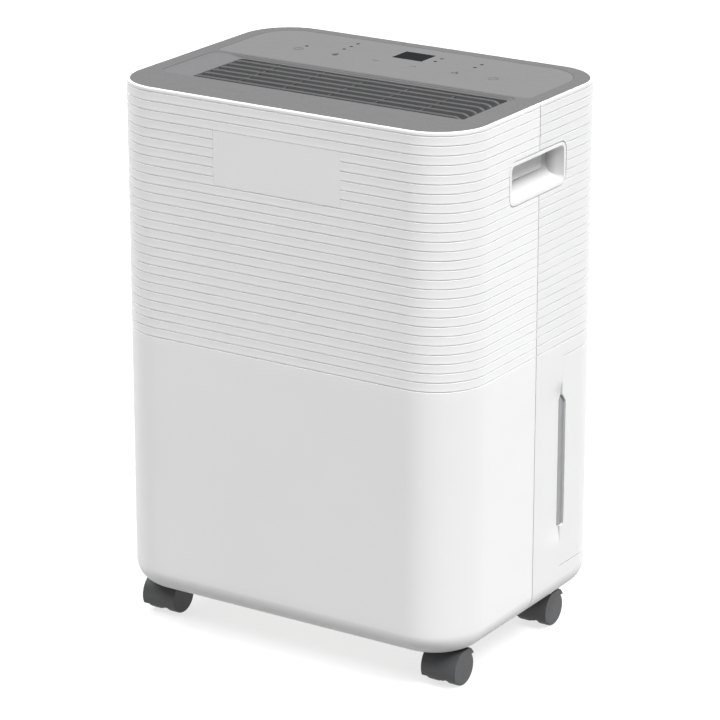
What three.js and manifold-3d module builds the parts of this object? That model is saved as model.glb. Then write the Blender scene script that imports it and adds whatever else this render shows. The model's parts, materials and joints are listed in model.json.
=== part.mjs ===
// Portable compressor dehumidifier on four twin-wheel casters.
// Units are millimetres. Origin: middle of the footprint on the floor.
// +X is the machine's right side seen from the front, +Y is the back, +Z is up.

import * as THREE from 'three';
import { mergeVertices } from 'three/addons/utils/BufferGeometryUtils.js';
import Module from 'manifold-3d';

const wasm = await Module();
wasm.setup();

// ---------------------------------------------------------------- driving dimensions

const GAP = 0.3; // left between pieces that meet

// Casing
const WIDTH = 371;
const DEPTH = 272.5;
const HEIGHT = 521;
const CORNER_RADIUS = 51.5;
const CORNER_STEPS = 4;
const BODY_BOTTOM = 35;
const BOTTOM_ROUND = 22;
const BOTTOM_ROUND_STEPS = 3;
const WALL = 3;
const SEAM_Y = 2.7;

// Ribbed band round the upper half
const RIB_PITCH = 8.5;
const RIB_DEPTH = 0.9;
const RIB_LINES = 28;
const PLAIN_RIM = 3;

// Blank badge on the front, and the carrying handles on both sides
const BADGE_HALF_WIDTH = 67;
const BADGE_THICKNESS = 1.6;
const BADGE_TOP_LINE = 3;
const BADGE_BOTTOM_LINE = 9;
const HANDLE_Y = 0.95;
const HANDLE_Z = 458;
const HANDLE_HALF_LENGTH = 49.45;
const HANDLE_HALF_HEIGHT = 20;
const HANDLE_RADIUS = 9;
const HANDLE_DEPTH = 32;
const CUP_WALL = 3;

// Base tray: a pad that fills the casing's bottom opening, and a wider pan that lies on the casing's lip
const LIP_INSET = BOTTOM_ROUND + 2;
const PAD_TOP = 39.9;
const PAN_BOTTOM = 39.6;
const PAN_TOP = 42.4;
const PAN_INSET = BOTTOM_ROUND - WALL - 2;
const BOSS_RADIUS = 8;
const BOSS_TOP = 62;
const STUD_RADIUS = 3;
const STUD_TOP = 63;
const RAIL_PLACES_X = [-120, 0, 120];
const RAIL_THICKNESS = 3;
const RAIL_BACK = 118;

// Top deck
const DECK_TOP = HEIGHT - 0.4;
const DECK_THICKNESS = 5;
const DECK_SKIRT = 12.6;
const PANEL_THICKNESS = 1.6;
const PANEL = { left: -168, right: 168, front: 13.3, back: 121, frontRadius: 8, backRadius: 38 };
const BOARD_OPENING = { left: -116, right: 116, front: 44, back: 112, frontRadius: 4, backRadius: 4 };
const GRILLE = { left: -166, right: 160, front: -80.5, back: 10, frontRadius: 12, backRadius: 12 };
const GRILLE_TOP = DECK_TOP - 1.5;
const GRILLE_THICKNESS = 7;
const SLOT_COUNT = 7;
const SLOT_PITCH = 12.9;
const SLOT_WIDTH = 6.6;
const SLOT_FIRST_Y = -72.2;
const SLOT_LEFT = -134;
const SLOT_RIGHT = 151;
const DISPLAY = { left: -15.2, right: 16.8, front: 77.5, back: 103.5 };
const TOUCH_KEYS_X = [-105, -64, -21, 21, 65, 105];
const TOUCH_KEYS_Y = 58;
const KEY_SPRING_RADIUS = 2.5;
const CONTROL_BOARD = { left: -112, right: 112, front: 48, back: 108, bottom: 503, top: 504.6 };

// Rear air inlet
const INLET_HALF_WIDTH = 122;
const INLET_BOTTOM = 298.5;
const INLET_TOP = 471.5;
const INLET_RADIUS = 6;
const INLET_THICKNESS = 3.4;
const INLET_BORDER = 7;
const INLET_COLUMNS = 2;
const INLET_SLOT_HEIGHT = 5;
const INLET_POST = 3;
const FILTER_FRAME_THICKNESS = 5.5;
const FILTER_BORDER = 6;
const FILTER_BARS_X = [-40, 40];

// Water tank and its bay
const TANK_FRONT = 52;
const TANK_BOTTOM = 68.4;
const TANK_TOP = 274.5;
const BUCKET_INSET = 6.2;
const BUCKET_FRONT = 50;
const BUCKET_BOTTOM = 72;
const BUCKET_TOP = 236;
const BUCKET_WALL = 2.5;
const LID_TOP = 241.5;
const TANK_GRIP = { halfWidth: 48, bottom: 246, radius: 12 };
const FASCIA_CLIPS_X = [-100, 100];
const TANK_PIVOT = { y: 62, z: 246.5 };
const TANK_HANDLE_ARM = 26;
const TANK_HANDLE_HALF_WIDTH = 67;
const TANK_HANDLE_THICKNESS = 4;
const HANDLE_PIN_RADIUS = 1.8;
const FLOAT_PIVOT = { y: 110, z: 230 };
const FLOAT_X = 110;
const FLOAT = { front: 62, back: 86, bottom: 196, top: 222, halfWidth: 15 };
const FLOAT_PIN_RADIUS = 1.5;
const LUG_HALF_SPREAD = 9;
const BAY_WALL_Y = 44;
const BAY_CEILING = 277.8;
const SHEET = 2.5;
const SPOUT = { x: 0, y: 112 };
const SPOUT_RADIUS = 6.1;
const SPOUT_BORE = 4.2;
const SPOUT_BOTTOM = 266;

// Drip tray and drain
const TRAY_HALF_WIDTH = 132;
const TRAY_FRONT = 60;
const TRAY_BACK = 120;
const TRAY_BOTTOM = 280.8;
const TRAY_TOP = 294;
const TRAY_WALL = 2;
const DRAIN = { x: -90, z: 288 };
const DRAIN_OUTER = 6;
const DRAIN_BORE = 4.2;
const PLUG_HEAD_RADIUS = 8.5;
const CORD_EXIT = { x: 120, z: 60 };
const GLAND_RADIUS = 7;
const GLAND_BORE = 3.5;
const OUTLET_DEPTH = 8; // how deep the rear wall's round holes are cut

// Coils
const COIL_HALF_WIDTH = 112;
const COIL_BOTTOM = 297;
const COIL_TOP = 467;
const COIL_THICKNESS = 20;
const CONDENSER_FRONT = 72;
const EVAPORATOR_FRONT = 98;
const RETURN_BENDS = 3;
const BEND_RADIUS = 8.5;
const BEND_PITCH = 56;
const BEND_TUBE_RADIUS = 3.5;
const PIPE_ENTRY_Z = 338;
const CAPILLARY_ENTRY_Z = 380;
const SUCTION_RADIUS = 4;
const DISCHARGE_RADIUS = 3.2;
const CAPILLARY_RADIUS = 1.5;

// Fan
const FAN_Z = 385;
const SCROLL_FRONT = -68;
const SCROLL_BACK = 2;
const SCROLL_START_RADIUS = 74;
const SCROLL_END_RADIUS = 114;
const SCROLL_TOP = 506;
const MOTOR_RADIUS = 42;
const MOTOR_FRONT = -114;
const SHAFT_RADIUS = 4;
const INLET_RING_RADIUS = 52;
const OUTLET_DUCT = {
  left: -130, right: 150, lowLeft: -100, lowLeftZ: 484, kneeX: 20, kneeZ: 474, riseZ: 470,
};
const IMPELLER_RADIUS = 64;
const BLADE_DEPTH = 12;
const BLADE_COUNT = 20;

// Compressor
const COMPRESSOR = { x: -45, y: -48 };
const COMPRESSOR_RADIUS = 56;
const FOOT_CIRCLE = 66;
const FOOT_PLATE_CORNER = 90;
const FOOT_ANGLES = [90, 210, 330];
const TERMINAL_COVER = { reach: 72, halfWidth: 14, bottom: 160, top: 200 };

// Electrics: a box behind the front wall, open towards the front, with the main board in it
const ELECTRICS_BOX = { left: 55, right: 150, front: -127, back: -96, bottom: 300, top: 430 };
const MAIN_BOARD = { left: 59, right: 146, front: -122, back: -120.4, bottom: 304, top: 426 };
const TRANSFORMER = { left: 66, right: 90, front: -120.6, back: -102, bottom: 312, top: 344 };
const RELAY = { left: 98, right: 138, front: -120.6, back: -108, bottom: 320, top: 350 };
const TERMINALS = { left: 66, right: 134, front: -120.6, back: -114, bottom: 398, top: 412 };
const STORAGE_CAPACITORS_X = [78, 104];
const STORAGE_CAPACITORS_Z = 372;
const RUN_CAPACITOR = { x: -95, y: -108, radius: 17, bottom: 300, top: 362 };
const SENSOR_BOARD = { left: 140, right: 158, front: 96, back: 97.6, bottom: 430, top: 456 };
const SENSOR_HEAD = { left: 144, right: 154, front: 97.4, back: 103, bottom: 440, top: 452 };
const SWITCH = { halfWidth: 12, bottom: 258, top: 272 };
const SWITCH_BUTTON = { halfWidth: 4, bottom: 262, top: 266 };

// Casters
const CASTER_X = 154.6;
const CASTER_Y = 81.35;
const CASTER_TRAIL = 11.05;
const WHEEL_RADIUS = 16.5;
const CASTER_HALF_WIDTH = 18;
const WHEEL_WIDTH = 13;
const STEM_RADIUS = 4;
const HOOD_OUTER = 19.2;
const HOOD_INNER = 17.1;
const CASTER_TOP = BODY_BOTTOM - 0.5;
const CASTER_STEM_TOP = 60;
const HOOD_ARC = [60, 205]; // degrees, from straight back over the top to the front
const HOOD_UNDERSIDE = 7;
const AXLE_RADIUS = 2.5;
const AXLE_HALF_LENGTH = 14.5;

// ---------------------------------------------------------------- materials

const finish = (color, roughness, metalness = 0) =>
  new THREE.MeshStandardMaterial({ color, roughness, metalness });

const WHITE = finish('#f0f0ef', 0.45);
const DECK_GREY = finish('#9a9b9c', 0.5);
const PANEL_GREY = finish('#a9aaab', 0.3);
const GRILLE_GREY = finish('#85868a', 0.5);
const LENS = finish('#26282c', 0.15);
const CASTER_GREY = finish('#505154', 0.55);
const CHASSIS = finish('#d8d8d4', 0.7);
const SMOKE = finish('#8f9296', 0.25);
const BLACK = finish('#1d1e20', 0.6);
const RUBBER = finish('#2a2a2b', 0.85);
const BOARD = finish('#2e6b45', 0.6);
const STEEL = finish('#b9bbbe', 0.35, 1);
const COPPER = finish('#b87450', 0.35, 1);
const ALUMINIUM = finish('#c6c9cc', 0.4, 1);
const MESH_GREY = finish('#6b6e72', 0.8);
const FLOAT_FOAM = finish('#e6e2d8', 0.9);

// ---------------------------------------------------------------- solids

// A closed geometry as a solid, with shared corners merged, slivers of no area dropped and faces out.
function toSolid(geometry) {
  const bare = geometry.clone();
  bare.deleteAttribute('normal');
  bare.deleteAttribute('uv');
  const merged = mergeVertices(bare, 1e-4);
  const position = merged.attributes.position;
  const corners = merged.index.array;
  const a = new THREE.Vector3();
  const b = new THREE.Vector3();
  const c = new THREE.Vector3();
  const kept = [];
  let volume = 0;
  for (let i = 0; i < corners.length; i += 3) {
    const [p, q, r] = [corners[i], corners[i + 1], corners[i + 2]];
    if (p === q || q === r || r === p) continue;
    kept.push(p, q, r);
    a.fromBufferAttribute(position, p);
    b.fromBufferAttribute(position, q);
    c.fromBufferAttribute(position, r);
    volume += a.dot(b.cross(c));
  }
  if (volume < 0) {
    kept.reverse();
  }
  return new wasm.Manifold(new wasm.Mesh({
    numProp: 3,
    vertProperties: new Float32Array(position.array),
    triVerts: new Uint32Array(kept),
  }));
}

const join = (...solids) => solids.reduce((whole, solid) => whole.add(solid));
const cut = (solid, ...tools) => tools.reduce((rest, tool) => rest.subtract(tool), solid);

function box(x0, x1, y0, y1, z0, z1) {
  const geometry = new THREE.BoxGeometry(x1 - x0, y1 - y0, z1 - z0);
  geometry.translate((x0 + x1) / 2, (y0 + y1) / 2, (z0 + z1) / 2);
  return toSolid(geometry);
}

const blockOf = ({ left, right, front, back, bottom, top }) => box(left, right, front, back, bottom, top);

// Turns a geometry built along Y so that it lies along the named axis, then moves it.
function layAlong(axis, geometry, x, y, z) {
  if (axis === 'X') geometry.rotateZ(-Math.PI / 2);
  if (axis === 'Z') geometry.rotateX(Math.PI / 2);
  geometry.translate(x, y, z);
  return toSolid(geometry);
}

// A round rod along an axis; low and high are its ends on that axis, x, y, z a point on it.
function rod(axis, radius, low, high, { x = 0, y = 0, z = 0 }, segments = 12) {
  const middle = (low + high) / 2;
  const at = { x, y, z, [axis.toLowerCase()]: middle };
  const geometry = new THREE.CylinderGeometry(radius, radius, high - low, segments);
  return layAlong(axis, geometry, at.x, at.y, at.z);
}

// A turned piece: profile holds [radius, distance along the axis] pairs.
function turned(axis, profile, { x = 0, y = 0, z = 0 }, segments = 20) {
  const points = profile.map(([radius, along]) => new THREE.Vector2(radius, along));
  return layAlong(axis, new THREE.LatheGeometry(points, segments), x, y, z);
}

const tube = (axis, outer, inner, low, high, at, segments = 12) =>
  turned(axis, [[inner, low], [outer, low], [outer, high], [inner, high], [inner, low]], at, segments);

const extrude = (shape, depth, curveSegments = 2) =>
  new THREE.ExtrudeGeometry(shape, { depth, bevelEnabled: false, curveSegments });

// Prisms: the shape is drawn in (x, y), (y, z) or (x, z) and pushed along the third axis.
function prismZ(shape, z0, z1, curveSegments) {
  return toSolid(extrude(shape, z1 - z0, curveSegments).translate(0, 0, z0));
}

function prismX(shape, x0, x1, curveSegments) {
  const toYZ = new THREE.Matrix4().set(0, 0, 1, x0, 1, 0, 0, 0, 0, 1, 0, 0, 0, 0, 0, 1);
  return toSolid(extrude(shape, x1 - x0, curveSegments).applyMatrix4(toYZ));
}

function prismY(shape, y0, y1, curveSegments) {
  return toSolid(extrude(shape, y1 - y0, curveSegments).rotateX(Math.PI / 2).translate(0, y1, 0));
}

const polygon = (points) => new THREE.Shape(points.map(([u, v]) => new THREE.Vector2(u, v)));

// A rectangle whose two low corners have one radius and whose two high corners another.
function roundedRect(left, right, low, high, lowRadius, highRadius = lowRadius) {
  const shape = new THREE.Shape();
  shape.moveTo(left + lowRadius, low);
  shape.lineTo(right - lowRadius, low);
  shape.absarc(right - lowRadius, low + lowRadius, lowRadius, -Math.PI / 2, 0);
  shape.lineTo(right, high - highRadius);
  shape.absarc(right - highRadius, high - highRadius, highRadius, 0, Math.PI / 2);
  shape.lineTo(left + highRadius, high);
  shape.absarc(left + highRadius, high - highRadius, highRadius, Math.PI / 2, Math.PI);
  shape.lineTo(left, low + lowRadius);
  shape.absarc(left + lowRadius, low + lowRadius, lowRadius, Math.PI, 1.5 * Math.PI);
  return shape;
}

// A deck area, drawn smaller by a margin.
const area = (zone, margin = 0) => roundedRect(
  zone.left + margin, zone.right - margin, zone.front + margin, zone.back - margin,
  zone.frontRadius - margin, zone.backRadius - margin,
);

// The casing's outline seen from above, pulled in by an inset.
function casingRing(z, inset) {
  const radius = CORNER_RADIUS - inset;
  const cornerX = WIDTH / 2 - CORNER_RADIUS;
  const cornerY = DEPTH / 2 - CORNER_RADIUS;
  const ring = [];
  for (const [quarter, signX, signY] of [[0, 1, 1], [1, -1, 1], [2, -1, -1], [3, 1, -1]]) {
    for (let step = 0; step <= CORNER_STEPS; step += 1) {
      const angle = (quarter + step / CORNER_STEPS) * Math.PI / 2;
      ring.push([signX * cornerX + radius * Math.cos(angle), signY * cornerY + radius * Math.sin(angle), z]);
    }
  }
  return ring;
}

// A closed body through casing outlines: levels holds [z, inset] pairs from the bottom up.
function casingStack(levels) {
  const rings = levels.map(([z, inset]) => casingRing(z, inset));
  const count = rings[0].length;
  const faces = [];
  for (let level = 0; level + 1 < rings.length; level += 1) {
    for (let i = 0; i < count; i += 1) {
      const here = level * count + i;
      const next = level * count + (i + 1) % count;
      faces.push(here, next, next + count, here, next + count, here + count);
    }
  }
  const top = (rings.length - 1) * count;
  for (let i = 1; i + 1 < count; i += 1) {
    faces.push(0, i + 1, i, top, top + i, top + i + 1);
  }
  const geometry = new THREE.BufferGeometry();
  geometry.setAttribute('position', new THREE.Float32BufferAttribute(rings.flat(2), 3));
  geometry.setIndex(faces);
  return toSolid(geometry);
}

const casingSlab = (z0, z1, inset) => casingStack([[z0, inset], [z1, inset]]);

// A pipe through points, swept with an eight-sided section.
function pipe(points, radius, steps) {
  const stops = points.map((point) => new THREE.Vector3(...point));
  const route = new THREE.CatmullRomCurve3(stops, false, 'centripetal');
  const section = new THREE.Shape();
  section.absarc(0, 0, radius, 0, 2 * Math.PI);
  return toSolid(new THREE.ExtrudeGeometry(section, { extrudePath: route, steps, curveSegments: 4 }));
}

const everywhereBehind = (y) => box(-WIDTH, WIDTH, y, DEPTH, -1, HEIGHT + 10);
const everywhereBefore = (y) => box(-WIDTH, WIDTH, -DEPTH, y, -1, HEIGHT + 10);

// ---------------------------------------------------------------- assembly

const group = new THREE.Group();

function place(name, material, solid) {
  const { numProp, vertProperties, triVerts } = solid.getMesh();
  const geometry = new THREE.BufferGeometry();
  geometry.setAttribute('position', new THREE.BufferAttribute(new Float32Array(vertProperties), numProp));
  geometry.setIndex(new THREE.BufferAttribute(new Uint32Array(triVerts), 1));
  geometry.computeVertexNormals();
  const mesh = new THREE.Mesh(geometry, material);
  mesh.name = name;
  group.add(mesh);
}

const ribLine = (line) => HEIGHT - PLAIN_RIM - RIB_PITCH * line;

// ---------------------------------------------------------------- casing

function bottomRound(radius, startInset) {
  const levels = [];
  for (let step = 0; step <= BOTTOM_ROUND_STEPS; step += 1) {
    const angle = step / BOTTOM_ROUND_STEPS * Math.PI / 2;
    const z = BODY_BOTTOM + BOTTOM_ROUND - radius * Math.cos(angle);
    levels.push([z, startInset - radius * Math.sin(angle)]);
  }
  return levels;
}

function casingOutside() {
  const levels = bottomRound(BOTTOM_ROUND, BOTTOM_ROUND);
  for (let line = RIB_LINES - 1; line >= 0; line -= 1) {
    levels.push([ribLine(line) - RIB_PITCH / 2, 0], [ribLine(line), RIB_DEPTH]);
  }
  levels.push([HEIGHT - PLAIN_RIM + RIB_DEPTH, 0], [HEIGHT, 0]);
  return casingStack(levels);
}

function casingInside() {
  const round = bottomRound(BOTTOM_ROUND - WALL, BOTTOM_ROUND);
  const lip = [[BODY_BOTTOM - 1, LIP_INSET], [round[0][0] - 0.01, LIP_INSET]];
  return casingStack([...lip, ...round, [HEIGHT + 1, WALL]]);
}

const handleOutline = (margin) => roundedRect(
  HANDLE_Y - HANDLE_HALF_LENGTH + margin, HANDLE_Y + HANDLE_HALF_LENGTH - margin,
  HANDLE_Z - HANDLE_HALF_HEIGHT + margin, HANDLE_Z + HANDLE_HALF_HEIGHT - margin,
  HANDLE_RADIUS - margin,
);

// The level window is a slit between the casing's edge and the tank's fascia, pointed at the top.
const levelSlit = () => prismX(
  polygon([[49.5, 109], [60, 109], [60, 230], [53, 237.5], [49.5, 232]]),
  WIDTH / 2 - 12, WIDTH / 2 + 5,
);

function shells() {
  const skin = cut(
    casingOutside(), casingInside(),
    prismX(handleOutline(0), -WIDTH, WIDTH),
    levelSlit(),
  );
  const badgePocket = box(
    -BADGE_HALF_WIDTH - GAP, BADGE_HALF_WIDTH + GAP,
    -DEPTH, -DEPTH / 2 + BADGE_THICKNESS + GAP,
    ribLine(BADGE_BOTTOM_LINE), ribLine(BADGE_TOP_LINE),
  );
  place('front_shell', WHITE, cut(skin.intersect(everywhereBefore(SEAM_Y - GAP / 2)), badgePocket));
  place('rear_shell', WHITE, cut(
    skin.intersect(everywhereBehind(SEAM_Y + GAP / 2)),
    box(-WIDTH, WIDTH, TANK_FRONT - GAP, DEPTH, TANK_BOTTOM, TANK_TOP),
    prismY(inletOutline(0, INLET_RADIUS), DEPTH / 2 - OUTLET_DEPTH, DEPTH),
    rod('Y', PLUG_HEAD_RADIUS + 1, DEPTH / 2 - OUTLET_DEPTH, DEPTH, DRAIN),
    rod('Y', GLAND_RADIUS + GAP, DEPTH / 2 - OUTLET_DEPTH, DEPTH, CORD_EXIT),
  ));
  const badgeOutline = roundedRect(
    -BADGE_HALF_WIDTH, BADGE_HALF_WIDTH,
    ribLine(BADGE_BOTTOM_LINE) + GAP, ribLine(BADGE_TOP_LINE) - GAP, 2,
  );
  place('badge_plate', WHITE, prismY(badgeOutline, -DEPTH / 2, -DEPTH / 2 + BADGE_THICKNESS, 1));
}

// A carrying handle is a cup sunk in the side wall; side is +1 on the right and -1 on the left.
function handleCup(name, side) {
  const face = WIDTH / 2 - 0.2;
  const span = (low, high) => (side > 0 ? [low, high] : [-high, -low]);
  place(name, WHITE, cut(
    prismX(handleOutline(GAP), ...span(face - HANDLE_DEPTH, face)),
    prismX(handleOutline(GAP + CUP_WALL), ...span(face - HANDLE_DEPTH + CUP_WALL, face + 1)),
  ));
}

function baseTray() {
  const corners = [[-1, -1], [1, -1], [-1, 1], [1, 1]].map(([signX, signY]) => (
    { x: signX * CASTER_X, y: signY * CASTER_Y }
  ));
  const rails = RAIL_PLACES_X.map((x) => box(
    x - RAIL_THICKNESS / 2, x + RAIL_THICKNESS / 2, BUCKET_FRONT, RAIL_BACK, PAD_TOP, BUCKET_BOTTOM - 2 * GAP,
  ));
  const bosses = corners.map((at) => rod('Z', BOSS_RADIUS, PAD_TOP - 1, BOSS_TOP, at));
  const bores = corners.map((at) => rod('Z', STEM_RADIUS + GAP, BODY_BOTTOM - 5, BOSS_TOP + 1, at));
  const studs = footPlaces().map((at) => rod('Z', STUD_RADIUS, PAD_TOP, STUD_TOP, at));
  place('base_tray', CHASSIS, cut(
    join(
      casingSlab(BODY_BOTTOM, PAD_TOP, LIP_INSET + GAP),
      casingSlab(PAN_BOTTOM, PAN_TOP, PAN_INSET),
      ...rails, ...bosses, ...studs,
    ),
    ...bores,
  ));
}

function bayPartition() {
  const halfWidth = WIDTH / 2 - 5 * WALL;
  const top = BAY_CEILING + SHEET;
  const wall = box(-halfWidth, halfWidth, BAY_WALL_Y, BAY_WALL_Y + SHEET, PAN_TOP + GAP, top);
  const ceiling = casingSlab(BAY_CEILING, top, WALL + 1).intersect(everywhereBehind(BAY_WALL_Y));
  place('bay_partition', CHASSIS, cut(
    join(wall, ceiling),
    rod('Z', SPOUT_RADIUS + 2, BAY_CEILING - 1, top + 1, SPOUT),
  ));
}

// ---------------------------------------------------------------- top

function topDeck() {
  const plateBottom = DECK_TOP - DECK_THICKNESS;
  const inset = WALL + GAP;
  place('top_deck', DECK_GREY, cut(
    casingSlab(DECK_TOP - DECK_SKIRT, DECK_TOP, inset),
    casingSlab(DECK_TOP - DECK_SKIRT - 1, plateBottom, inset + SHEET),
    prismZ(area(PANEL), DECK_TOP - PANEL_THICKNESS - GAP, HEIGHT),
    prismZ(area(BOARD_OPENING), plateBottom - 1, HEIGHT),
    prismZ(area(GRILLE), plateBottom - 1, HEIGHT),
  ));
}

function outletGrille() {
  const slots = Array.from({ length: SLOT_COUNT }, (_, i) => {
    const y = SLOT_FIRST_Y + i * SLOT_PITCH;
    const half = SLOT_WIDTH / 2;
    const slot = roundedRect(SLOT_LEFT, SLOT_RIGHT, y - half, y + half, half - 0.1);
    return prismZ(slot, GRILLE_TOP - GRILLE_THICKNESS - 1, GRILLE_TOP + 1, 1);
  });
  const tray = prismZ(area(GRILLE, GAP), GRILLE_TOP - GRILLE_THICKNESS, GRILLE_TOP);
  place('outlet_grille', GRILLE_GREY, cut(tray, ...slots));
}

function controlPanel() {
  const low = DECK_TOP - PANEL_THICKNESS;
  place('control_panel', PANEL_GREY, cut(
    prismZ(area(PANEL, GAP), low, DECK_TOP),
    box(DISPLAY.left, DISPLAY.right, DISPLAY.front, DISPLAY.back, low - 1, HEIGHT),
  ));
  place('display_lens', LENS, displayBlock(GAP, low, DECK_TOP));
  const springFoot = CONTROL_BOARD.top - 0.5;
  const springs = TOUCH_KEYS_X.map((x) => (
    rod('Z', KEY_SPRING_RADIUS, springFoot, low - 1, { x, y: TOUCH_KEYS_Y }, 8)
  ));
  const display = displayBlock(1, springFoot, low - GAP);
  place('control_board', BOARD, join(blockOf(CONTROL_BOARD), display, ...springs));
}

function displayBlock(margin, low, high) {
  return box(
    DISPLAY.left + margin, DISPLAY.right - margin, DISPLAY.front + margin, DISPLAY.back - margin, low, high,
  );
}

// ---------------------------------------------------------------- rear inlet

const inletOutline = (margin, radius) => roundedRect(
  -INLET_HALF_WIDTH + margin, INLET_HALF_WIDTH - margin, INLET_BOTTOM + margin, INLET_TOP - margin, radius,
);

function inletFilter() {
  const back = DEPTH / 2 - 0.1;
  const front = back - INLET_THICKNESS;
  const columnWidth = 2 * (INLET_HALF_WIDTH - INLET_BORDER) / INLET_COLUMNS;
  const windows = [];
  for (let z = INLET_BOTTOM + INLET_BORDER; z + RIB_PITCH < INLET_TOP - INLET_BORDER / 2; z += RIB_PITCH) {
    for (let column = 0; column < INLET_COLUMNS; column += 1) {
      const left = -INLET_HALF_WIDTH + INLET_BORDER + column * columnWidth;
      const right = left + columnWidth - INLET_POST / 2;
      windows.push(box(left + INLET_POST / 2, right, front - 1, back + 1, z, z + INLET_SLOT_HEIGHT));
    }
  }
  place('inlet_grille', WHITE, cut(prismY(inletOutline(GAP, INLET_RADIUS - GAP), front, back), ...windows));

  const frameBack = front - GAP;
  const frameFront = frameBack - FILTER_FRAME_THICKNESS;
  const opening = prismY(inletOutline(FILTER_BORDER, 3), frameFront - 1, frameBack + 1);
  const bars = FILTER_BARS_X.map((x) => box(
    x - INLET_POST / 2, x + INLET_POST / 2, frameFront, frameFront + 2,
    INLET_BOTTOM + FILTER_BORDER / 2, INLET_TOP - FILTER_BORDER / 2,
  ));
  const rim = prismY(inletOutline(1, INLET_RADIUS - 1), frameFront, frameBack);
  const cloth = inletOutline(FILTER_BORDER + GAP, 2.7);
  place('filter_frame', CHASSIS, join(cut(rim, opening), ...bars));
  place('filter_mesh', MESH_GREY, prismY(cloth, frameBack - 3, frameBack - 2));
}

// ---------------------------------------------------------------- water tank

function tankBucket() {
  const outside = casingStack([
    [BUCKET_BOTTOM, BUCKET_INSET + 8], [BUCKET_BOTTOM + 3, BUCKET_INSET + 3],
    [BUCKET_BOTTOM + 8, BUCKET_INSET], [BUCKET_TOP, BUCKET_INSET],
  ]).intersect(everywhereBehind(BUCKET_FRONT));
  const inside = casingSlab(BUCKET_BOTTOM + 2 * BUCKET_WALL, BUCKET_TOP + 1, BUCKET_INSET + BUCKET_WALL)
    .intersect(everywhereBehind(BUCKET_FRONT + BUCKET_WALL));
  place('tank_bucket', SMOKE, cut(outside, inside));
}

function tankFascia() {
  const grip = TANK_GRIP;
  const gripOutline = roundedRect(-grip.halfWidth, grip.halfWidth, grip.bottom, TANK_TOP + 30, grip.radius);
  const clips = FASCIA_CLIPS_X.map((x) => box(
    x - 10, x + 10, DEPTH / 2 - BUCKET_INSET + GAP, DEPTH / 2 - WALL + 0.2, 150, 158,
  ));
  place('tank_fascia', WHITE, join(
    cut(
      casingSlab(TANK_BOTTOM + GAP, TANK_TOP - GAP, 0).intersect(everywhereBehind(TANK_FRONT)),
      casingSlab(TANK_BOTTOM - 1, TANK_TOP + 1, WALL),
      prismY(gripOutline, DEPTH / 2 - CORNER_RADIUS, DEPTH),
      levelSlit(),
    ),
    ...clips,
  ));
}

function tankLid() {
  const plate = casingSlab(BUCKET_TOP + GAP, LID_TOP, BUCKET_INSET).intersect(everywhereBehind(BUCKET_FRONT));
  const earX = TANK_HANDLE_HALF_WIDTH - TANK_HANDLE_THICKNESS - GAP / 2;
  const ears = [-1, 1].map((side) => box(
    side * earX - 1.75, side * earX + 1.75,
    TANK_PIVOT.y - 6, TANK_PIVOT.y + 6, LID_TOP - 0.3, TANK_PIVOT.z + 4.5,
  ));
  const lugs = [-1, 1].map((side) => {
    const x = FLOAT_X + side * LUG_HALF_SPREAD;
    return box(x - 1.5, x + 1.5, FLOAT_PIVOT.y - 5, FLOAT_PIVOT.y + 5, FLOAT_PIVOT.z - 5, BUCKET_TOP + 1);
  });
  place('tank_lid', CHASSIS, cut(
    join(plate, ...ears, ...lugs),
    box(SPOUT.x - 28, SPOUT.x + 28, SPOUT.y - 12, SPOUT.y + 10, BUCKET_TOP - 1, LID_TOP + 1),
    rod('X', HANDLE_PIN_RADIUS + 0.4, -TANK_HANDLE_HALF_WIDTH, TANK_HANDLE_HALF_WIDTH, TANK_PIVOT),
    rod('X', FLOAT_PIN_RADIUS + 0.4, FLOAT_X - 15, FLOAT_X + 15, FLOAT_PIVOT),
  ));
}

function tankHandle() {
  const end = TANK_PIVOT.y + TANK_HANDLE_ARM;
  const half = TANK_HANDLE_THICKNESS / 2;
  const arms = [-1, 1].map((side) => box(
    side * TANK_HANDLE_HALF_WIDTH - half, side * TANK_HANDLE_HALF_WIDTH + half,
    TANK_PIVOT.y - 3, end, TANK_PIVOT.z - 2.5, TANK_PIVOT.z + 2.5,
  ));
  const pinMiddle = TANK_HANDLE_HALF_WIDTH - 3.7;
  const pins = [-1, 1].map((side) => (
    rod('X', HANDLE_PIN_RADIUS, side * pinMiddle - 2.7, side * pinMiddle + 2.7, TANK_PIVOT)
  ));
  const barEnd = TANK_HANDLE_HALF_WIDTH + half;
  const bar = rod('X', 3, -barEnd, barEnd, { y: end, z: TANK_PIVOT.z });
  place('tank_handle', CHASSIS, join(...arms, ...pins, bar));
}

// The float hangs from its hub on a sloping arm, low enough to clear the lid when it has swung up.
function tankFloat() {
  const { y, z } = FLOAT_PIVOT;
  const armOutline = polygon([
    [y - 1, z + 3.5], [FLOAT.back - 2, z - 4.5], [FLOAT.back - 14, FLOAT.top + 2],
    [FLOAT.back - 14, FLOAT.top - 2], [FLOAT.back, FLOAT.top - 4], [y - 2, z - 3.4],
  ]);
  const body = roundedRect(FLOAT.front, FLOAT.back, FLOAT.bottom, FLOAT.top, 4);
  place('float_arm', FLOAT_FOAM, cut(
    join(
      rod('X', 4, FLOAT_X - 7, FLOAT_X + 7, FLOAT_PIVOT),
      prismX(armOutline, FLOAT_X - 3, FLOAT_X + 3),
      prismX(body, FLOAT_X - FLOAT.halfWidth, FLOAT_X + FLOAT.halfWidth, 1),
    ),
    rod('X', FLOAT_PIN_RADIUS + GAP, FLOAT_X - 10, FLOAT_X + 10, FLOAT_PIVOT),
  ));
  place('float_pin', STEEL, rod('X', FLOAT_PIN_RADIUS, FLOAT_X - 11, FLOAT_X + 11, FLOAT_PIVOT));
}

// ---------------------------------------------------------------- condensate path

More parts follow.
